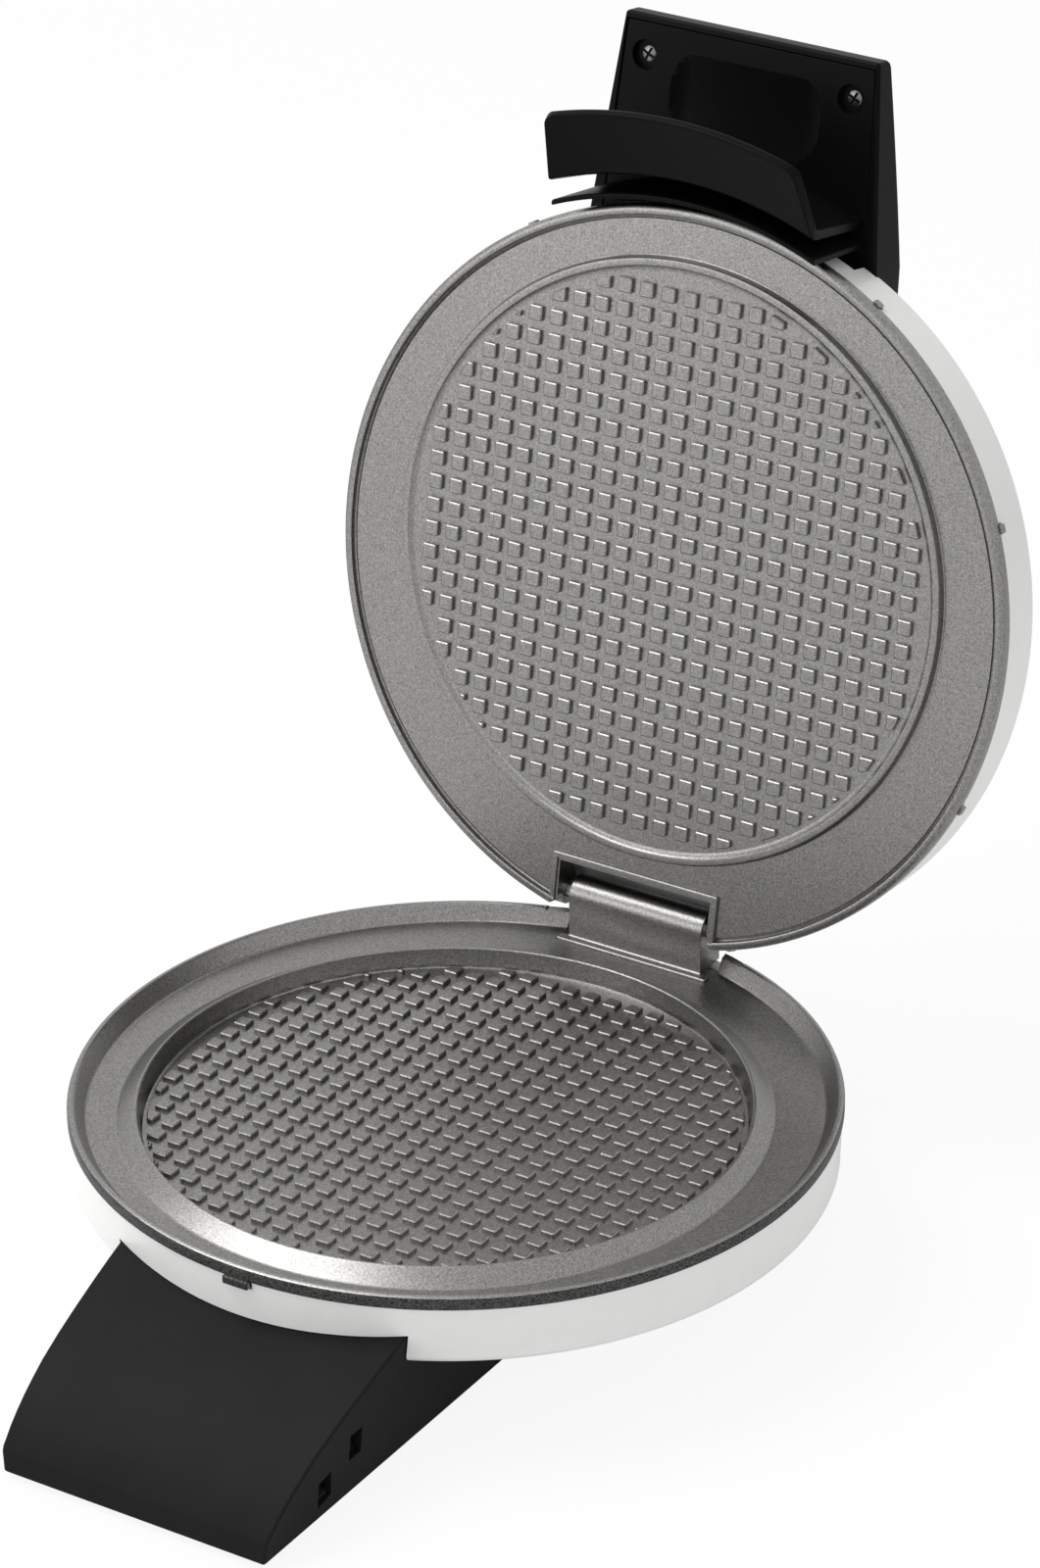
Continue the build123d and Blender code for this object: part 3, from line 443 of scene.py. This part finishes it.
def steel(name, shade, rough):
    """Steel with faint lines along one direction."""
    finish = Finish(name, (shade, shade, shade * 0.98), metallic=1.0, roughness=rough)
    lines = finish.noise(0.4, 2.0, 0.5, (1.0, 1.0, 0.1))
    finish.feed("Roughness", rough - 0.05 + lines * 0.14)
    finish.feed("Base Color", finish.between(lines, (shade * 0.88,) * 3, (shade, shade, shade)))
    return finish.material


def plain(name, colour, rough, cell=0.6):
    """Ceramic, nylon or rubber: one colour with a fine grain."""
    finish = Finish(name, colour, roughness=rough)
    grain = finish.noise(cell, 3.0, 0.6)
    finish.feed("Base Color", finish.between(grain, tuple(c * 0.86 for c in colour), colour))
    finish.feed("Roughness", rough - 0.05 + grain * 0.1)
    finish.relief(grain, 0.02)
    return finish.material


def lens(name, colour):
    """Glossy lens of a pilot lamp."""
    finish = Finish(name, colour, roughness=0.12, coat_weight=0.4)
    swell = finish.noise(2.0, 1.0, 0.5)
    finish.feed("Base Color", finish.between(swell, tuple(c * 0.8 for c in colour), colour))
    return finish.material


LOOKS = {
    "coated": coating(),
    "white": white_plastic(),
    "black": black_plastic("black_moulded_plastic", 0.0035, 0.36, 0.35, 0.05),
    "steel": steel("plain_steel", 0.55, 0.32),
    "screw": steel("zinc_plated_steel", 0.72, 0.26),
    "ceramic": plain("unglazed_ceramic", (0.72, 0.66, 0.55), 0.7),
    "block": plain("natural_nylon", (0.68, 0.65, 0.58), 0.5),
    "rubber": plain("black_rubber", (0.012, 0.012, 0.012), 0.75, 0.8),
    "red_lens": lens("red_lens", (0.45, 0.02, 0.015)),
    "green_lens": lens("green_lens", (0.03, 0.26, 0.05)),
}
STAND_BLACK = black_plastic("grained_black_plastic", 0.012, 0.46, 0.45, 0.055)
# Dark edge finish: tool marks on the plate's rim, and painted shade on the front lug.
TURNED_EDGE_WITH_PAINTED_SHADE = turned_edge_with_painted_shade()
DARK_SCREW = steel("dark_nickel_screw", 0.2, 0.28)

for part in frame["record"]["subparts"]:
    for material_slot in frame["nodes"][part["node"]].material_slots:
        material_slot.material = LOOKS[part["material_slot"]]


def dressed(obj, slot, body, replaced, look=None):
    """Give a finished piece its place, look, slot, body and the nodes that it stands for."""
    applied(obj)
    if body == "lid":
        turned_about(obj, HINGE, -OPEN_ANGLE, "X")
    obj.data.materials.clear()
    obj.data.materials.append(look or LOOKS[slot])
    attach(obj, body)
    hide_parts(*replaced)
    return obj


def edged(obj, inner):
    """Give the faces farther than a radius from the plates' axis the look of the turned edge; this also darkens
    the front lug as painted shade.
    """
    obj.data.materials.append(TURNED_EDGE_WITH_PAINTED_SHADE)
    axis = at(*AXIS)
    for face in obj.data.polygons:
        if math.hypot(face.center.x - axis.x, face.center.y - axis.y) > inner * MM:
            face.material_index = 1
    return obj


def square_field(name, top, root):
    """Grid of chamfered squares, one modelled and the rest arrayed, trimmed to the round disc."""
    half = SQUARE_SIDE / 2
    field = block(name, (-half, -half, root), (half, half, top))
    corner = SQUARES_ACROSS // 2 * SQUARE_PITCH
    field.location = Vector((DISC[0] - corner, DISC[1] - corner, 0)) * MM
    applied(field)
    spacing = {"count": SQUARES_ACROSS, "use_relative_offset": False, "use_constant_offset": True}
    for step in ((SQUARE_PITCH * MM, 0, 0), (0, SQUARE_PITCH * MM, 0)):
        modified(field, "ARRAY", constant_offset_displace=step, **spacing)
    low, high = sorted((top, root))
    combined(field, [rod("trim", (*DISC, low - 3), (*DISC, high + 3), FIELD_RADIUS, 160)], "INTERSECT")
    alone(field)
    edit()
    bpy.ops.mesh.select_all(action="SELECT")
    bpy.ops.mesh.separate(type="LOOSE")
    done_editing()
    squares = list(bpy.context.selected_objects)
    kept = [square for square in squares if min(square.dimensions[:2]) > SMALLEST_SQUARE * MM]
    for sliver in set(squares) - set(kept):
        bpy.data.objects.remove(sliver)
    field = joined(kept[0], kept[1:])
    field.name = name
    return smooth(softened(field, SQUARE_BEVEL, 1, 40), 12)


def lower_plate():
    """Cast plate of the base: lip, channel, collar round the squares, and the tongue of the hinge."""
    rim = [(97.5, -8.4), (SPIGOT_RADIUS, -8.4), (SPIGOT_RADIUS, -LIP_DEPTH), (RIM_RADIUS, -LIP_DEPTH)]
    rim += [(PLATE_RADIUS, -LIP_START), (PLATE_RADIUS, -1.4), (RIM_RADIUS, -0.6), (106.5, -0.2)]
    rim += [(105.8, -0.2), (105.4, -0.45), (105.1, -0.9), (102.9, -4.3), (102.5, -4.7), (102.0, CHANNEL)]
    channel = [(93.2, CHANNEL), (INNER_RADIUS, CHANNEL)]
    plate = turned("lower_casting", [(94.5, LOWER_BACK)] + rim + channel)
    cone = [(70, -9.5), (93.0, -9.5), (93.0, -4.98), (91.6, -4.9), (90.6, -4.55), (86.1, -1.5)]
    crest = [(85.7, -1.25), (85.3, -1.2), (85.0, -1.5)]
    recess = [(84.1, -6.6), (83.7, -7.1), (83.0, LOWER_FLOOR), (INNER_RADIUS, LOWER_FLOOR)]
    collar = turned("lower_collar", cone + crest + recess, DISC)
    combined(plate, [turned("well", [(90, -7.6), (90, 5)], DISC)])
    squares = square_field("lower_squares", LOWER_FLOOR + 1.2, LOWER_FLOOR - SQUARE_SUNK)
    combined(plate, [block("pad_cut", (-25.4, PAD_FRONT, -5.0), (25.4, 115, 6))])
    combined(plate, [hinge_rod("swing_cut", SWING_HALF, SWING_RADIUS, 96)])
    tongue = hinge_tongue()
    pad = softened(block("hinge_pad", (-24.9, PAD_FRONT, -5.4), (24.9, 95.8, -4.0)), 0.45, 3)
    # The lug reaches past EDGE_FROM, so edged() paints it dark as shade for the window it sits in.
    lug = softened(block("front_lug", (-4, -108.7, -6), (4, -102.7, -3.6)), 0.4, 2)
    smooth(plate, 30)
    smooth(collar, 30)
    smooth(pad, 40)
    joined(plate, [collar, squares, tongue, pad, lug])
    edged(dressed(plate, "coated", "base", ("lower_plate",)), EDGE_FROM)


def hinge_tongue():
    """Upright tongue with the barrel of the hinge on top and a small fillet at its foot."""
    _, y, z = HINGE
    front, back = y - BARREL_RADIUS, y + BARREL_RADIUS
    fillet = 0.5
    side = [(front, -5.9), (101.3, -5.9), (101.3, -LIP_DEPTH), (back, -LIP_DEPTH)]
    side += arc_points((y, z), BARREL_RADIUS, 0, 180, 20) + [(front, -3.5)]
    side += arc_points((front - fillet, -3.5), fillet, 0, -90, 4) + [(front - fillet, -5.9)]
    tongue = side_outlined("hinge_tongue", side, -TONGUE_HALF, 2 * TONGUE_HALF)
    combined(tongue, [hinge_rod("bore", 30, BORE_RADIUS, 32)])
    return smooth(softened(tongue, 0.5, 2, 50), 40)


def upper_plate():
    """Cast plate of the lid: grooved lip, ring, bead round the squares, and the notch for the tongue."""
    rim = [(SPIGOT_RADIUS, UPPER_BACK), (SPIGOT_RADIUS, LIP_DEPTH), (RIM_RADIUS, LIP_DEPTH)]
    rim += [(PLATE_RADIUS, LIP_START), (PLATE_RADIUS, 1.4), (RIM_RADIUS, 0.6), (106.5, 0.2), (105.4, 0.2)]
    groove = [(105.0, 0.35), (104.8, 1.8), (104.4, 2.1), (103.9, 1.9), (103.6, UPPER_RING)]
    rings = [(INNER_RADIUS, UPPER_BACK)] + rim + groove + [(INNER_RADIUS, UPPER_RING)]
    plate = turned("upper_casting", rings)
    outside = [(70, 4.0), (88.2, 4.0), (88.2, 1.45), (87.9, 1.25), (87.45, -0.45), (87.25, -0.72)]
    crown = [(87.0, -0.8), (85.6, -0.8), (85.35, -0.72), (85.15, -0.45), (84.5, -0.1)]
    floor = [(83.6, UPPER_FLOOR), (INNER_RADIUS, UPPER_FLOOR)]
    bead = turned("upper_bead", outside + crown + floor, DISC)
    land = softened(block("notch_land", (-27.4, 87.5, UPPER_FLOOR), (27.4, 101.8, 2.2)), 0.45, 3)
    combined(plate, [land], "UNION")
    combined(plate, [block("notch_cut", (-NOTCH_HALF, NOTCH_FRONT, -3), (NOTCH_HALF, 112, 14))])
    step = 0.8
    low = (-NOTCH_HALF - step, NOTCH_FRONT - step, -3)
    combined(plate, [block("notch_step", low, (NOTCH_HALF + step, 112, step))])
    combined(plate, notch_corners())
    ears = [hinge_ear(start) for start in (-EAR_INNER - EAR_WIDTH, EAR_INNER)]
    lugs = [softened(lug, 0.3, 2) for lug in at_lugs("lug", (103, -1.3, 3.6), (108.2, 1.3, 6.0))]
    squares = square_field("upper_squares", UPPER_FLOOR - 1.35, UPPER_FLOOR + SQUARE_SUNK)
    smooth(plate, 30)
    smooth(bead, 30)
    joined(plate, [bead, squares] + ears + lugs)
    dressed(plate, "coated", "lid", ("upper_plate",))


def notch_corners():
    """Cutters that round the two outer corners of the notch."""
    round_y = 100.67
    cutters = []
    for side in (-1, 1):
        corner = [(24.0, round_y)] + arc_points((28.0, round_y), 3.0, 180, 74.5, 8)
        spots = [(side * x, y, -3) for x, y in corner + [(29.2, 110.0), (24.0, 110.0)]]
        cutters.append(outlined("notch_corner", spots, (0, 0, 8.5)))
    return cutters


def hinge_ear(start):
    """Cast ear that carries one end of the hinge pin."""
    _, y, z = HINGE
    side = [(84, 4.3), (98.5, 12.04)] + arc_points((y, z), EAR_RADIUS, 118, -40, 14) + [(101.9, 4.3)]
    return smooth(side_outlined("ear", side, start, EAR_WIDTH), 40)


def at_lugs(name, low, high):
    """One block at the angle of each lug on the upper plate."""
    return [turned_about(block(name, low, high), AXIS, angle) for angle in LUG_ANGLES]


def tub(name, up):
    """Round housing, open towards the plate: up is 1 for the lid and -1 for the base."""
    wall = [(30, SHELL_INSIDE), (102.6, SHELL_INSIDE), (104.4, 17.8), (104.4, LIP_DEPTH)]
    wall += [(107.0, LIP_DEPTH), (106.45, 18.6)]
    wall += arc_points((103.9, SHELL_OUTSIDE - SHELL_ROUND), SHELL_ROUND, 4, 86, 8)
    return turned(name, [(radius, up * z) for radius, z in wall + [(30, SHELL_OUTSIDE)]])


def screw_wells(shell, up):
    """Wells of the four screws that hold the plate."""
    low, high = sorted((up * SCREW_WELL_FLOOR, up * 30))
    for x, y in SCREW_CORNERS:
        combined(shell, [rod("screw_well", (x, y, low), (x, y, high), SCREW_WELL_RADIUS, 40)])
    return shell


def base_housing():
    """White tub under the lower plate, notched over the stand's front and for the plate's lug."""
    shell = tub("base_shell", -1)
    combined(shell, [stand_solid("stand_cut", STAND_FIT)])
    combined(shell, [block("lug_window", (-4.4, -110, -6.4), (4.4, -101, -2.0))])
    softened(screw_wells(shell, -1), 0.35, 2, 40)
    dressed(smooth(shell), "white", "base", ("base_housing",))


def lid_housing():
    """White tub over the upper plate, notched for the handle, the hinge and the plate's lugs."""
    shell = tub("lid_shell", 1)
    combined(shell, [block("handle_notch", (-46.9, -125, 18.7), (46.9, -92.0, 30))])
    combined(shell, [block("cover_notch", (-42.6, -125, 13.2), (42.6, -92.0, 30))])
    combined(shell, [block("hinge_window", (-SWING_HALF, 95, 2), (SWING_HALF, 115, 14.75))])
    combined(shell, at_lugs("lug_window", (100, -1.6, 2), (112, 1.6, 6.4)))
    softened(screw_wells(shell, 1), 0.35, 2, 40)
    dressed(smooth(shell), "white", "lid", ("lid_housing",))


def stand_side(grow):
    """Side outline of the stand: wedge front, curved brow, long flat body under the housing."""
    back, bottom, top = STAND_BACK + grow, STAND_BOTTOM - grow, grow - SHELL_OUTSIDE
    front = [(STAND_FRONT - grow, bottom), (-157.9 - grow, -44.3), (-157.2 - grow, -42.9)]
    brow = [(-155.3, -41.2), (-152.9, -38.9), (-149.6, -36.3), (-145.6, -33.5), (-141.2, -30.8)]
    brow += [(-136.0, -27.9), (-128.0, -24.3), (-119.5, -20.95), (-111.0, -17.85), (-102.5, -14.95)]
    raised = [(y - grow * 0.45, z + grow * 0.9) for y, z in brow]
    step = [(BROW_BACK + grow, -12.3 + grow), (BROW_BACK + grow, top)]
    return [(back, top), (back, bottom)] + front + raised + step


def stand_solid(name, grow=0.0):
    """Outer form of the stand, or the same form grown all round to cut its seat."""
    solid = side_outlined(name, stand_side(grow))
    for side in (-1, 1):
        edge = (side * (STAND_HALF + grow), STAND_FRONT, STAND_BOTTOM)
        shaved(solid, edge, (side, -STAND_FLARE, -STAND_LEAN))
    return clean(solid)


def wedge_stand():
    """Black stand, recessed underneath for its cover, with two windows in each side."""
    stand = stand_solid("wedge_stand")
    recess = [(-39.3, -155.9), (39.3, -155.9), (41.9, 95.6), (-41.9, 95.6)]
    combined(stand, [outlined("stand_hollow", [(x, y, -52) for x, y in recess], (0, 0, 3.9))])
    softened(stand, 0.9)
    slanted = [(-134.6, -38.4), (-128.9, -37.2), (-128.2, -45.0), (-134.2, -46.4)]
    for start in (-48, 24):
        upright = block("window", (start, -120.6, -39.0), (start + 24, -115.0, -31.0))
        combined(stand, [upright, side_outlined("window", slanted, start, 24)], solver="EXACT")
    dressed(smooth(stand), "black", "base", ("stand",), look=STAND_BLACK)


def handle_shell():
    """Black shell of the handle: free end at the front, brow on the lid's back, holes for the lamps."""
    end = [(-92.4, HANDLE_FACE), (HANDLE_END, HANDLE_FACE), (HANDLE_END, 24.6), (-153.9, 25.9)]
    top = [(-152.6, 26.5), (-151.0, 26.75), (-143, 28.0), (-133, 29.5), (-123, 30.9), (-113, 32.2)]
    brow = [(-102, 33.45), (-91, 34.5), (-80, 35.3), (-73, 35.4), (-66, 34.4), (-59.5, 32.2)]
    foot = [(-54.5, 28.6), (-51.4, 25.0), (-49.9, SHELL_OUTSIDE), (-92.4, SHELL_OUTSIDE)]
    handle = side_outlined("handle_shell", end + top + brow + foot)
    for side in (-1, 1):
        shaved(handle, (side * HANDLE_END_HALF, HANDLE_END, HANDLE_FACE), (side, -HANDLE_FLARE, 0))
        shaved(handle, (side * HANDLE_HALF, FLARE_BACK, HANDLE_FACE), (side, 0, 0))
        shaved(handle, (side * HANDLE_HALF, -72, HANDLE_FACE), (side * 0.43, 0.9, 0))
        shaved(handle, (side * 28.0, -57.5, HANDLE_FACE), (side * 0.2, 0.98, 0))
    softened(handle, 1.6, 4, 28)
    rebate = [(-39.8, -152.6), (39.8, -152.6), (42.5, -92.4), (-42.5, -92.4)]
    combined(handle, [outlined("rebate", [(x, y, 17) for x, y in rebate], (0, 0, 4.1))])
    for spot in LAMP_SPOTS:
        combined(handle, [rod("lamp_hole", (*spot, 29), (*spot, 40), 3.6, 40)])
    dressed(smooth(handle), "black", "lid", ("handle_shell",))


def arc_wall(name, section, ends):
    """Wall concentric with the plates: a drawn section spun about their axis, its ends cut flat."""
    start = math.radians(-90 - GUARD_SWEEP / 2)
    solid = drawn(name, [(r * math.cos(start), r * math.sin(start), z) for r, z in section])
    edit()
    bpy.ops.mesh.select_all(action="SELECT")
    sweep = math.radians(GUARD_SWEEP)
    bpy.ops.mesh.spin(steps=GUARD_SWEEP, angle=sweep, center=at(*AXIS), axis=(0, 0, -1))
    done_editing()
    clean(solid)
    for side in (-1, 1):
        for (x, z), (across, up) in ends:
            shaved(solid, (side * x, 0, z), (side * across, 0, up))
    return clean(solid)


def rounded_tips(guard, radius=4.2, steps=6):
    """Round the two free corners of the guard's tip with a fan of cuts."""
    for side in (-1, 1):
        tip = Vector((side * 39.7, -131.0, -21.4))
        end_normal = Vector((side * 0.9654, 0.0, -0.2607))
        tip_normal = Vector((side * 0.254, -0.833, -0.491)).normalized()
        middle = tip - (end_normal + tip_normal) * radius / (1 + end_normal.dot(tip_normal))
        for step in range(1, steps + 1):
            normal = end_normal.slerp(tip_normal, step / (steps + 1))
            shaved(guard, middle + normal * radius, normal)
    return guard


def hooked_guard():
    """Guard between the fingers and the hot plates, hooked outwards at its free edge."""
    wall = [(115.2, 20.0), (117.5, 20.0), (118.9, 4.0), (120.2, -9.2), (120.9, -10.9), (122.6, -12.0)]
    tip = [(136.6, -19.9), (137.2, -20.6), (137.0, -21.8), (136.2, -22.8), (135.2, -22.6)]
    inside = [(119.0, -13.0), (118.2, -12.2), (117.8, -11.0), (116.6, 3.0)]
    ends = [((40.2, 20.0), (1.0, 0.065)), ((42.2, -12.2), (1.0, -0.27))]
    guard = rounded_tips(arc_wall("guard", wall + tip + inside, ends))
    return smooth(softened(guard, 0.6, 3, 40))


def thin_fin():
    """Thin curved fin between the guard and the plates."""
    section = [(110.8, 20.0), (112.3, 20.0), (112.3, -9.5), (111.9, -9.9), (111.2, -9.9), (110.8, -9.5)]
    fin = arc_wall("fin", section, [((41.6, 20.0), (1.0, 0.01))])
    return smooth(softened(fin, 0.4, 2, 40))


def handle_panel():
    """Panel that closes the handle, with two screw wells and a shallow scoop for the fingers."""
    corners = [(-39.5, -152.3), (39.5, -152.3), (42.2, -94.6), (42.2, -92.7)]
    corners += [(-42.2, -92.7), (-42.2, -94.6)]
    panel = outlined("panel", [(x, y, PANEL_FACE) for x, y in corners], (0, 0, 2.0))
    softened(panel, 0.5, 3, 40)
    for x in (-SCREW_X, SCREW_X):
        combined(panel, [rod("cup", (x, SCREW_Y, 19.6), (x, SCREW_Y, 24.1), 5.6)], "UNION")
        combined(panel, [rod("well", (x, SCREW_Y, 15), (x, SCREW_Y, 22.9), 4.3)])
    scoop = rod("finger_scoop", (-33, -134, -31.5), (33, -134, -31.5), 52, 192)
    return smooth(combined(panel, [softened(scoop, 15, 12, 60)]))


def handle_cover():
    """Panel, guard and fin, moulded in one piece with the lip that closes the housing's notch."""
    guard = hooked_guard()
    fin = thin_fin()
    panel = handle_panel()
    lip_section = [(104.4, 20.0), (106.0, 20.0), (106.0, 13.6), (104.4, 13.6)]
    lip = smooth(arc_wall("notch_lip", lip_section, [((42.0, 20.0), (1.0, 0.0))]))
    joined(panel, [guard, fin, lip])
    dressed(panel, "black", "lid", ("handle_cover",))


def cross_head_screws():
    """Two dark cross-head screws in the handle's wells."""
    heads = []
    for index, x in enumerate((-SCREW_X, SCREW_X)):
        dome = [(3.1, 22.9), (3.1, 21.9), (2.7, 21.3), (1.9, 20.95), (0.6, 20.85)]
        head = turned(f"cross_head_{index}", dome, (x, SCREW_Y), 64)
        for angle in (25, 115):
            bar = block("cross", (x - 2.0, SCREW_Y - 0.42, 20.0), (x + 2.0, SCREW_Y + 0.42, 22.3))
            combined(head, [turned_about(bar, (x, SCREW_Y, 0), angle)])
        heads.append(smooth(head))
    joined(heads[0], heads[1:])
    dressed(heads[0], "screw", "lid", ("handle_cover_screws",), look=DARK_SCREW)


def pale_floor():
    """Floor that is nearly white to the camera and still takes a faint shadow."""
    finish = Finish("pale_floor", (0.9, 0.9, 0.9), roughness=0.9)
    seen = finish.node("ShaderNodeLightPath", {}, {}, "Is Camera Ray")
    mirrored = finish.node("ShaderNodeLightPath", {}, {}, "Is Glossy Ray")
    glow = finish.node("ShaderNodeEmission", {}, {"Color": (1, 1, 1, 1)})
    shown = Value(finish, finish.shader.outputs[0])
    mix = finish.node("ShaderNodeMixShader", {}, {0: seen * 0.9 + mirrored * 0.1, 1: shown, 2: glow})
    finish.tree.links.new(mix.socket, finish.tree.nodes["Material Output"].inputs[0])
    fresh()
    bpy.ops.mesh.primitive_plane_add(size=8, location=(0, 0, -0.0002))
    floor = named("studio_floor")
    floor.data.materials.append(finish.material)


def pale_sky():
    """White world, brighter where the camera or a mirror sees it than where it lights the maker."""
    world = bpy.data.worlds.new("studio")
    bpy.context.scene.world = world
    world.use_nodes = True
    sky = world.node_tree
    background = sky.nodes["Background"]
    background.inputs["Color"].default_value = (1, 1, 1, 1)
    path = sky.nodes.new("ShaderNodeLightPath")
    shown = sky.nodes.new("ShaderNodeMath")
    shown.operation = "MAXIMUM"
    sky.links.new(path.outputs["Is Camera Ray"], shown.inputs[0])
    sky.links.new(path.outputs["Is Glossy Ray"], shown.inputs[1])
    lift = sky.nodes.new("ShaderNodeMapRange")
    sky.links.new(shown.outputs[0], lift.inputs["Value"])
    lift.inputs["To Min"].default_value = 0.68
    lift.inputs["To Max"].default_value = 1.0
    sky.links.new(lift.outputs[0], background.inputs["Strength"])


def lamp(name, spot, target, size, power):
    """Square area lamp aimed at a target, in metres and watts."""
    bpy.ops.object.light_add(type="AREA", location=spot)
    light = bpy.context.object
    light.name = name
    light.data.size = size
    light.data.energy = power
    light.rotation_mode = "QUATERNION"
    light.rotation_quaternion = (Vector(target) - Vector(spot)).to_track_quat("-Z", "Y")


def photograph_camera():
    """Camera that was fitted to the rings of the two plates in the photograph."""
    tilt = [math.radians(angle) for angle in (61.9923, 0.5048, 32.0791)]
    bpy.ops.object.camera_add(location=(0.80883, -1.24572, 0.93518), rotation=tilt)
    camera = bpy.context.object
    camera.data.lens = 143.09
    camera.data.sensor_width = 36
    camera.data.clip_start = 0.05
    bpy.context.scene.camera = camera


lower_plate()
upper_plate()
base_housing()
lid_housing()
wedge_stand()
handle_shell()
handle_cover()
cross_head_screws()

pale_floor()
pale_sky()
lamp("overhead", (-0.7, -0.32, 1.45), (0, 0, 0.1), 0.9, 14)
lamp("left", (-0.8, -1.15, 0.5), (0, 0, 0.15), 0.6, 2.8)
photograph_camera()
bpy.context.scene.view_settings.view_transform = "Standard"
